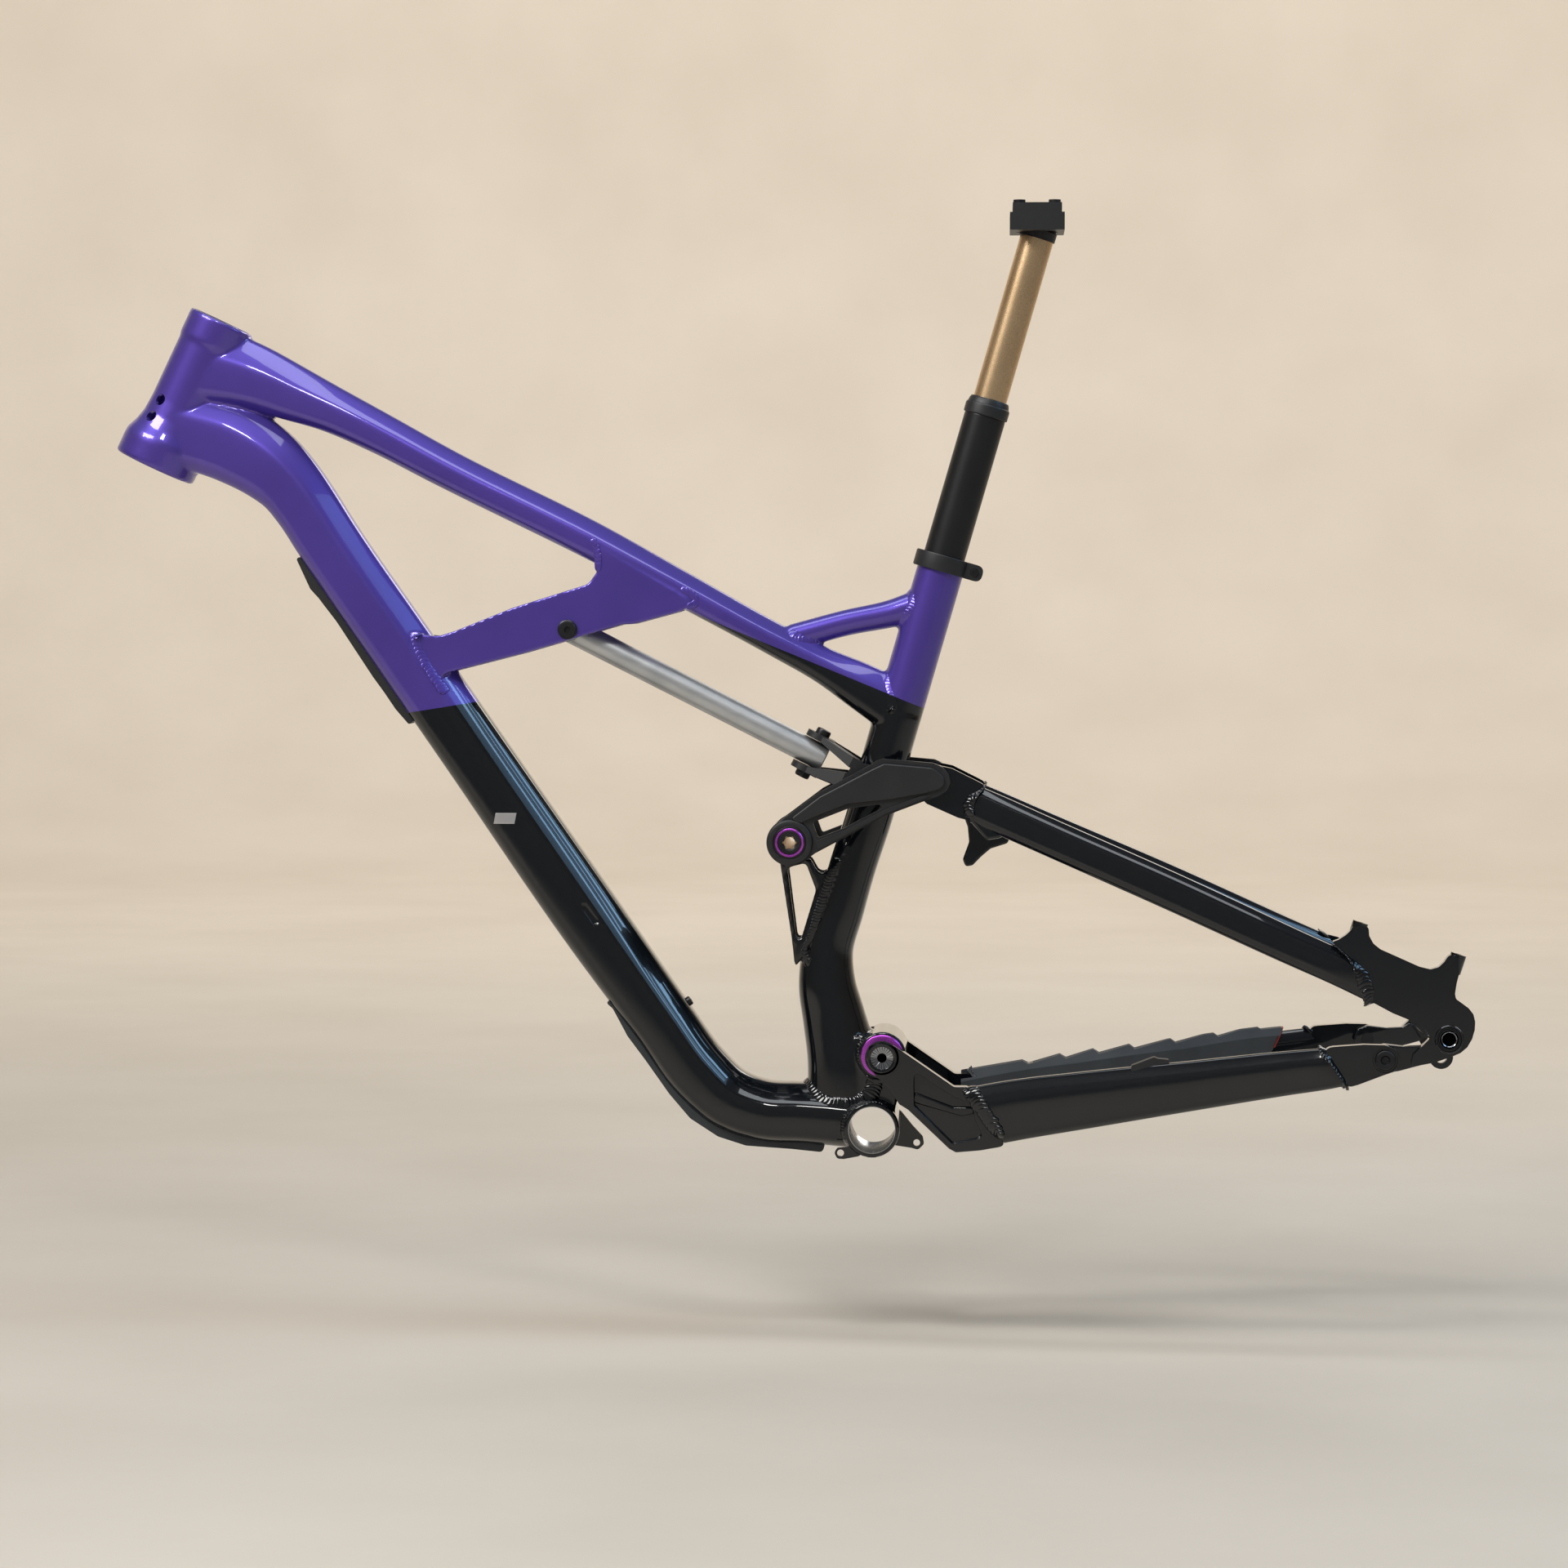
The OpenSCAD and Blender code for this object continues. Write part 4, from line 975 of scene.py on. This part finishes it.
def on_chainstay(obj, grow):
    """Keeps what lies within grow of the right chainstay, outside it and off the wheel's side."""
    boolean(obj, [loft("skin", rings_of(CHAIN_ROUTE, chain_section, grow=grow))], "INTERSECT")
    subtract(obj, [loft("core", rings_of(CHAIN_ROUTE, chain_section, grow=0.05)),
                   prism("inner", [(60, 30)] + INNER + [(320, 30)], -20, 100)])


saw = [[65, 0], [65, 35.5]]
for crest, valley in zip(CRESTS, VALLEYS):
    saw += [crest, valley]
chain_guard = plate("chainstay_guard", saw + [[308, 67.1], [296, 43]], 36, 95, corner=1.0)
on_chainstay(chain_guard, 5)
subtract(chain_guard, [plate("low", LOW, 36, 95, corner=0),
                       plate("yoke_room", [[40, 60], [71.5, 34.5], [90, 10], [40, 0]], 41.02, 54,
                             corner=0)])
soften(chain_guard, 0.7, 2, 35)
place(dress(chain_guard, rubber), "chainstay", "chainstay_guard", slot="guard_rubber")
edge_cut = plate("guard_red_edge", [[306.6, 66.9], [308.4, 67], [301.6, 52.5], [299.8, 52.2]], 36, 95,
                 corner=0)
on_chainstay(edge_cut, 4.6)
place(dress(edge_cut, red), "chainstay", slot="guard_rubber")

# cable clip on the left chainstay
clip = plate("cable_clip", [[189.5, 44], [189.5, 51.4], [206, 57.8], [209, 56.6], [217, 56], [217, 48]],
             -66, -56, corner=1.5)
subtract(clip, [loft("core", rings_of(CHAIN_ROUTE, chain_section, side=-1, grow=0.02))])
soften(clip, 0.6, 2)
place(dress(clip, plastic), "chainstay", "cable_clip", slot="guard_rubber")

# main pivot: violet rings, notched caps and their fluted centres
FLUTE_SIDES = 96
for s, tag in SIDES:
    turned(f"main_ring_{tag}", [(7.6, 37.3), (15.2, 37.3), (15.6, 37.8), (15.6, 38.6), (14.9, 39.1),
                                (15.4, 39.6), (15.4, 40.5), (14.9, 41), (7.6, 41)],
           MAIN, s, violet, "chainstay", "main_rings", "purple_anodised")
    turned(f"main_cap_{tag}", [(8.2, 53), (11, 53), (11, 54.2), (10.3, 55), (8.8, 55), (8.2, 54.6)],
           MAIN, s, black, "chainstay", "main_caps", "black_paint")
    fluted = []
    for r, deep, shallow in ((8.25, 54.8, 53.7), (3.5, 53.3, 53.1), (3.5, 52.6, 52.6),
                             (8.25, 52.6, 52.6)):
        for i in range(FLUTE_SIDES):
            a, h = 2 * math.pi * i / FLUTE_SIDES, deep if i % 8 < 4 else shallow
            fluted.append((MAIN[0] + r * math.cos(a), s * h, MAIN[1] + r * math.sin(a)))
    n = FLUTE_SIDES
    quads = [(k * n + i, k * n + (i + 1) % n, (k + 1) % 4 * n + (i + 1) % n, (k + 1) % 4 * n + i)
             for k in range(4) for i in range(n)]
    cone = new_object(f"main_flutes_{tag}", fluted, quads if s < 0 else [q[::-1] for q in quads],
                      polished, sharp=20)
    place(cone, "chainstay", slot="dark_metal")
    centre = rod(mid(MAIN), (0, s, 0), 3.45, 52.4, 53.0, f"main_centre_{tag}", 40)
    place(dress(centre, gold), "chainstay", slot="bearing_steel")

# ---------- seatstays ----------

STAY_FRONT = [[40, 275], [84, 275], [86, 257], [70, 242], [72, 228], [70, 205], [30, 230]]
STAY_BACK = [[324, 152], [333, 143], [352, 126], [362, 100], [362, 60], [420, 60], [420, 152]]
HEAD_SHAPE = [[44, 269.5], [58.5, 266.5], [78, 256.8], [83, 254], [70.5, 242], [72, 228], [63, 230.3],
              [40, 240.5], [32, 249], [31, 258], [36, 267]]
DROP = [[332.9, 143.3], [352, 126], [362, 100], [377, 92], [399, 83], [404, 74], [392, 62], [390, 53],
        [407.3, 56.4], [418.9, 60.4], [425.8, 63.4], [430.6, 67.5], [434, 73.4], [435.9, 80],
        [436.2, 86], [434.9, 91.4], [431.4, 95.9], [426.5, 99.5]]
LEFT_TOP = [[422.4, 102.4], [421.6, 106], [422.8, 114], [424.6, 121], [424, 130], [419.6, 135],
            [416.4, 133.2], [413.6, 129], [409.8, 125.4], [404, 123.8], [396, 125.7], [368, 138.2],
            [362.8, 142.4], [359.8, 148], [359.4, 154.6], [348, 155], [346.4, 151.6], [343, 148.4],
            [337.8, 145]]
RIGHT_TOP = [[414, 104], [398.8, 112], [365, 128], [349, 135.6], [338.8, 138.2]]
TONGUE = [[371.4, 47.9], [382, 49.5], [413, 58], [404, 72], [398, 68], [386, 67.4], [371.4, 69.1],
          [364, 66.5], [360.8, 58.5], [364, 50.5]]
POST_MID, POST_TILT, POST_SPACING = (389.4, 145.9), math.radians(18), 74.2
post_axis = (math.sin(POST_TILT), 0, math.cos(POST_TILT))
post_tops = [(POST_MID[0] + k * POST_SPACING / 2 * math.cos(POST_TILT), -76,
              POST_MID[1] - k * POST_SPACING / 2 * math.sin(POST_TILT)) for k in (-1, 1)]
for s, tag in NAMED_SIDES:
    rings = rings_of(STAY_ROUTE, stay_section, side=s)
    tube = stay_tube(f"seatstay_tube_{tag}", rings, STAY_FRONT, STAY_BACK)
    place(tube, "seatstay", f"seatstay_{tag}", slot="black_paint")
    tree = tree_of(tube)
    head = side_plate(f"seatstay_head_{tag}", HEAD_SHAPE, s, 28, 36, mat=black, corner=4,
                      holes=[side_cyl(UPPER, 8.3, s, 20, 40)])
    soften(head, 1.3, 3)
    place(head, "seatstay", f"seatstay_head_{tag}", slot="black_paint")
    weld(f"weld_stay_front_{tag}", end_loop(rings, STAY_FRONT, False), "seatstay", black, tree,
         width=4.6, height=1.3, pitch=2.7, keep=lambda p: p.z > 0.2315)
    weld(f"weld_stay_back_{tag}", end_loop(rings, STAY_BACK, True), "seatstay", black, tree,
         width=5.6, height=1.6, pitch=3.0, keep=lambda p, s=s: s * p.y > 0.0725)
    outline = DROP + LEFT_TOP if s < 0 else DROP[1:] + RIGHT_TOP
    body_plate = side_plate("drop", outline, s, 74, 82, corner=3)
    if s < 0:
        boolean(body_plate, [rod(top, post_axis, 5.8, -14, 0, segments=64) for top in post_tops],
                "UNION")
    soften(body_plate, 1.2, 3, 40)
    boolean(body_plate, [side_plate("tongue", TONGUE, s, 69, 77.7, corner=3, bevel=1.2)], "UNION")
    cutters = [side_cyl(AXLE, 10.5, s, 60, 100), side_cyl(HORST, 5, s, 60, 100)]
    if s < 0:
        cutters += [rod(top, post_axis, 2.6, -14.5, 2, segments=40) for top in post_tops]
    subtract(body_plate, cutters)
    body_plate.name = f"dropout_plate_{tag}"
    place(dress(body_plate, black), "seatstay", f"dropout_{tag}", slot="black_paint")
    top = 83.5 if s < 0 else 87
    turned(f"axle_insert_{tag}", [(6, 74), (10.4, 74), (10.4, top - 0.8), (9.8, top - 0.1),
                                  (9.0, top - 0.1),
                                  (8.5, top - 0.9), (7.9, top - 0.9), (7.4, top), (6.8, top),
                                  (6, top - 1.2)],
           AXLE, s, black, "seatstay", "axle_inserts")
    if s < 0:
        # painted shade: a matte black disc without reflection closes the axle bore so that it looks dark
        end = rod(mid(AXLE), (0, s, 0), 5.95, 75, 77, "axle_hole_cap", 64)
        place(dress(end, matte), "seatstay", slot="dark_metal")
        turned("axle_hole_lip", [(5.95, 79), (5.95, 82.4), (5.6, 82.9), (4.8, 82.4), (4.3, 81.2),
                                 (4.3, 79)],
               AXLE, s, polished, "seatstay", sharp=50)
    turned(f"horst_bolt_{tag}", [(0, 69), (5, 69), (5, 87.4), (6.9, 87.4), (6.9, 88.7), (6.4, 89.2),
                                 (3.6, 89.2), (2.6, 88.0), (2.5, 87.2), (0, 87.2)],
           HORST, s, dark_bolt, "seatstay", "horst_bolts")
    turned(f"horst_bearing_{tag}", [(5.1, 78.7), (8.9, 78.7), (8.9, 86.3), (7.6, 86.3), (7.4, 85.9),
                                    (6.5, 85.9), (6.3, 86.4), (5.1, 86.4)],
           HORST, s, black, "chainstay", "horst_bearings", "bearing_steel")

bridge = plate("bridge", [[72, 228], [74, 240], [92, 234], [97, 216], [84, 214]], -40, 40, corner=4,
               bevel=2)
fin = plate("fin", [[66, 233], [70, 222], [71, 211], [66.3, 198], [68.4, 192.5], [73.8, 193.6],
                    [80, 200], [87, 206], [101, 210.4], [98, 226]], -7, 7, corner=4, bevel=1.5)
bridge = join("seatstay_bridge_piece", [bridge, fin], black)
place(bridge, "seatstay", "seatstay_bridge", slot="black_paint")

# ---------- rocker, yoke, strut ----------

ROCKER_SHAPE = [[-67, 227.8], [-38.6, 249.1], [-0.3, 269.5], [4, 272.6], [8.6, 273.8], [45, 270.6],
                [52, 267.4], [56.4, 262], [57.6, 256], [55, 250.5], [49, 246.5], [36.8, 242.1],
                [10, 231.9], [-41.6, 204.2], [-50, 198], [-60, 195.3], [-70, 198.2], [-76.2, 206],
                [-77, 214], [-74, 222]]
ROCKER_WINDOW = [[-43.4, 226.9], [-17.1, 237.2], [5, 240.2], [9, 238.4], [-20.6, 222.8], [-39.2, 215.6]]
UPPER_BODY = [[-60, 229.5], [-38, 246.2], [0.5, 266.4], [9, 270.4], [44, 267.4], [49, 264.5], [53, 260],
              [53.6, 255], [50, 251.4], [40, 248.6], [12, 243.6], [-17, 240.6], [-45, 229.5], [-52, 226]]
LOWER_LEG = [[-41, 213.6], [-20, 221], [12, 237.6], [36, 246.4], [44, 247.6], [36.5, 243.6],
             [10.4, 233.6], [-39, 207]]
for s, tag in NAMED_SIDES:
    base = side_plate("base", ROCKER_SHAPE, s, 36.5, 43.4, corner=3,
                      holes=[side_plate("w", ROCKER_WINDOW, s, 30, 50, corner=2)])
    soften(base, 0.9, 2, 40)
    spine = side_plate("spine", UPPER_BODY, s, 42, 46, corner=5, bevel=2.2, segments=4)
    leg = side_plate("leg", LOWER_LEG, s, 42, 45.4, corner=2, bevel=1.4, segments=3)
    hub = lathe("hub", [(12, 27.4), (15.6, 27.4), (17, 29), (17, 44.6), (15.8, 46), (12.6, 46),
                        (12, 45.4)],
                mid(ROCKER), (0, s, 0))
    boolean(base, [spine, leg], "UNION")
    subtract(base, [side_cyl(ROCKER, 12.2, s, 20, 60)])
    place(join(f"rocker_plate_{tag}", [base, hub], satin), "rocker", f"rocker_{tag}", slot="satin_black")
    turned(f"rocker_bearing_{tag}", [(7.55, 28), (12, 28), (12, 45.4), (11.4, 45.8), (9.6, 45.8),
                                     (9.3, 45.3), (7.55, 45.3)],
           ROCKER, s, dark_bolt, "rocker", "rocker_bearings", "bearing_steel")

# silver strut, cut square at the back
strut = lathe("strut_piece", [(7.7, -9), (9.2, -9.6), (9.6, -9.2), (9.6, 212.2), (9.3, 212.6),
                              (8.0, 212.6), (7.7, 212.2)], strut_origin, strut_axis, segments=128)
subtract(strut, [cyl(STRUT, 7.4, -20, 20)])
place(dress(strut, brushed, 35), "strut", "strut_tube", slot="bare_aluminium")

for f in (1, -1):
    n_axis = Vector((math.sin(STRUT_SLOPE), 0, math.cos(STRUT_SLOPE))) * f
    base = Vector(strut_origin) + Vector(strut_axis) * 202.6 + n_axis * 15
    obj = bolt(f"yoke_bolt_{'ab'[f < 0]}", base, n_axis, 5.6, 4.6, 2.6, "yoke")
    if f > 0:
        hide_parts("yoke_bolts")

# CAD nodes that stay, with finished edges and materials
KEPT = {
    "shock_yoke": (satin, 1.0), "strut_spacers": (machined, 0.4),
    "main_axle": (machined, 0.4), "main_bearings": (machined, 0.3),
        "derailleur_hanger": (dark_bolt, 0.8),
    "upper_bolts": (dark_bolt, 0), "strut_plug": (dark_bolt, 0), "clamp_base": (satin, 0.8),
    "clamp_cap": (satin, 0.8), "clamp_bolts": (dark_bolt, 0)}
for node, (mat, width) in KEPT.items():
    obj = frame["nodes"][node]
    obj.data.materials.clear()
    obj.data.materials.append(mat)
    if width:
        bevel_edges(obj, width, 2)

# ---------- stage, light, camera ----------

floor_mat = simple("floor", (0.56, 0.51, 0.44), (0.60, 0.55, 0.48), (0.65, 0.8), grain=60.0,
                   strength=0.02, patch=3.0)
FLOOR_Z, FLOOR_R, CURVE, WALL_TOP = -160, 5600, 1800, 6500
bowl = [(0, FLOOR_Z)] + [(FLOOR_R + CURVE * math.sin(a), FLOOR_Z + CURVE * (1 - math.cos(a)))
                         for a in np.linspace(0, math.pi / 2, 18)]
bowl.append((FLOOR_R + CURVE, WALL_TOP))
floor = lathe("floor", bowl, (0, 0, 0), (0, 0, 1), floor_mat, segments=128, sharp=60, closed=False)


def area(name, location, target, size, energy, colour):
    data = bpy.data.lights.new(name, "AREA")
    data.shape = "RECTANGLE"
    data.size, data.size_y = size
    data.energy = energy
    data.color = colour
    obj = bpy.data.objects.new(name, data)
    bpy.context.scene.collection.objects.link(obj)
    obj.location = location
    obj.visible_camera = False
    obj.rotation_euler = (Vector(target) - Vector(location)).to_track_quat("-Z", "Y").to_euler()


for light in (
        ("key", (-1.7, -1.7, 2.3), (-0.1, 0, 0.25), (1.5, 0.9), 64, (1.0, 0.98, 0.95)),
        ("sky", (2.1, -0.6, 1.9), (0, 0, 0.25), (1.3, 0.9), 5, (0.36, 0.64, 1.0)),
        ("top", (-0.1, -0.5, 3.0), (0, 0, 0.25), (2.8, 0.8), 26, (0.92, 0.96, 1.0)),
        ("window", (-0.05, -1.6, 2.05), (0.15, 0, 0.05), (0.34, 0.3), 9, (1.0, 0.99, 0.97)),
        ("wall_wash", (0.0, 3.2, 4.4), (0, 7.4, 1.4), (6.0, 1.2), 300, (1.0, 0.95, 0.88)),
        ("front_wash", (0.0, -3.2, 4.4), (0, -7.4, 1.6), (6.0, 1.2), 70, (0.50, 0.70, 1.0)),
        ("back", (1.3, 2.1, 1.9), (0, 0, 0.25), (1.4, 0.9), 16, (1.0, 0.98, 0.95))):
    area(*light)

# narrow strips that streak the upper facet of the down tube
along, away = Vector((0.574, 0, -0.819)), Vector((0.83, -0.135, 0.541)).normalized()
across = away.cross(along)
STREAK_DISTANCE = 2.5
STREAKS = [(-0.26, 0.07, 2.0), (-0.12, 0.03, 0.8), (0.06, 0.10, 2.8), (0.22, 0.03, 0.9)]
for i, (offset, width, power) in enumerate(STREAKS):
    area(f"streak_{i}", (0, 0, 0), (0, 0, 1), (1.1, width), power, (0.36, 0.66, 1.0))
    place_at = Vector((-0.16, 0, 0.10)) + away * STREAK_DISTANCE + across * offset
    bpy.data.objects[f"streak_{i}"].matrix_world = Matrix.Translation(place_at) @ Matrix(
        (along, across, away)).transposed().to_4x4()

world = bpy.data.worlds.new("studio")
bpy.context.scene.world = world
world.use_nodes = True
world.node_tree.nodes["Background"].inputs["Color"].default_value = (0.80, 0.82, 0.86, 1)
world.node_tree.nodes["Background"].inputs["Strength"].default_value = 0.16
bpy.context.scene.view_settings.view_transform = "Standard"

camera_data = bpy.data.cameras.new("camera")
camera_data.lens = 105
camera_data.sensor_width = 36
camera_data.clip_end = 50
camera = bpy.data.objects.new("camera", camera_data)
bpy.context.scene.collection.objects.link(camera)
# worked out from the photo: centre of the view against the focal length, both in pixels
YAW, PITCH = math.atan(254 / 5600), math.atan(226 / 5600)
CAMERA_AT = (87.395, -3388.0, 390.243)
forward = Vector((-math.sin(YAW) * math.cos(PITCH), math.cos(YAW) * math.cos(PITCH), -math.sin(PITCH)))
right = Vector((math.cos(YAW), math.sin(YAW), 0))
upward = right.cross(forward)
camera.matrix_world = Matrix.Translation(Vector(CAMERA_AT) * MM) @ Matrix(
    (right, upward, -forward)).transposed().to_4x4()
bpy.context.scene.camera = camera

# large flat faces keep their own normals beside rounded edges
for obj in bpy.data.objects:
    if obj.type == "MESH" and obj not in (floor, weldment) and not obj.name.startswith("weld_"):
        modify(obj, "WEIGHTED_NORMAL", keep_sharp=True)

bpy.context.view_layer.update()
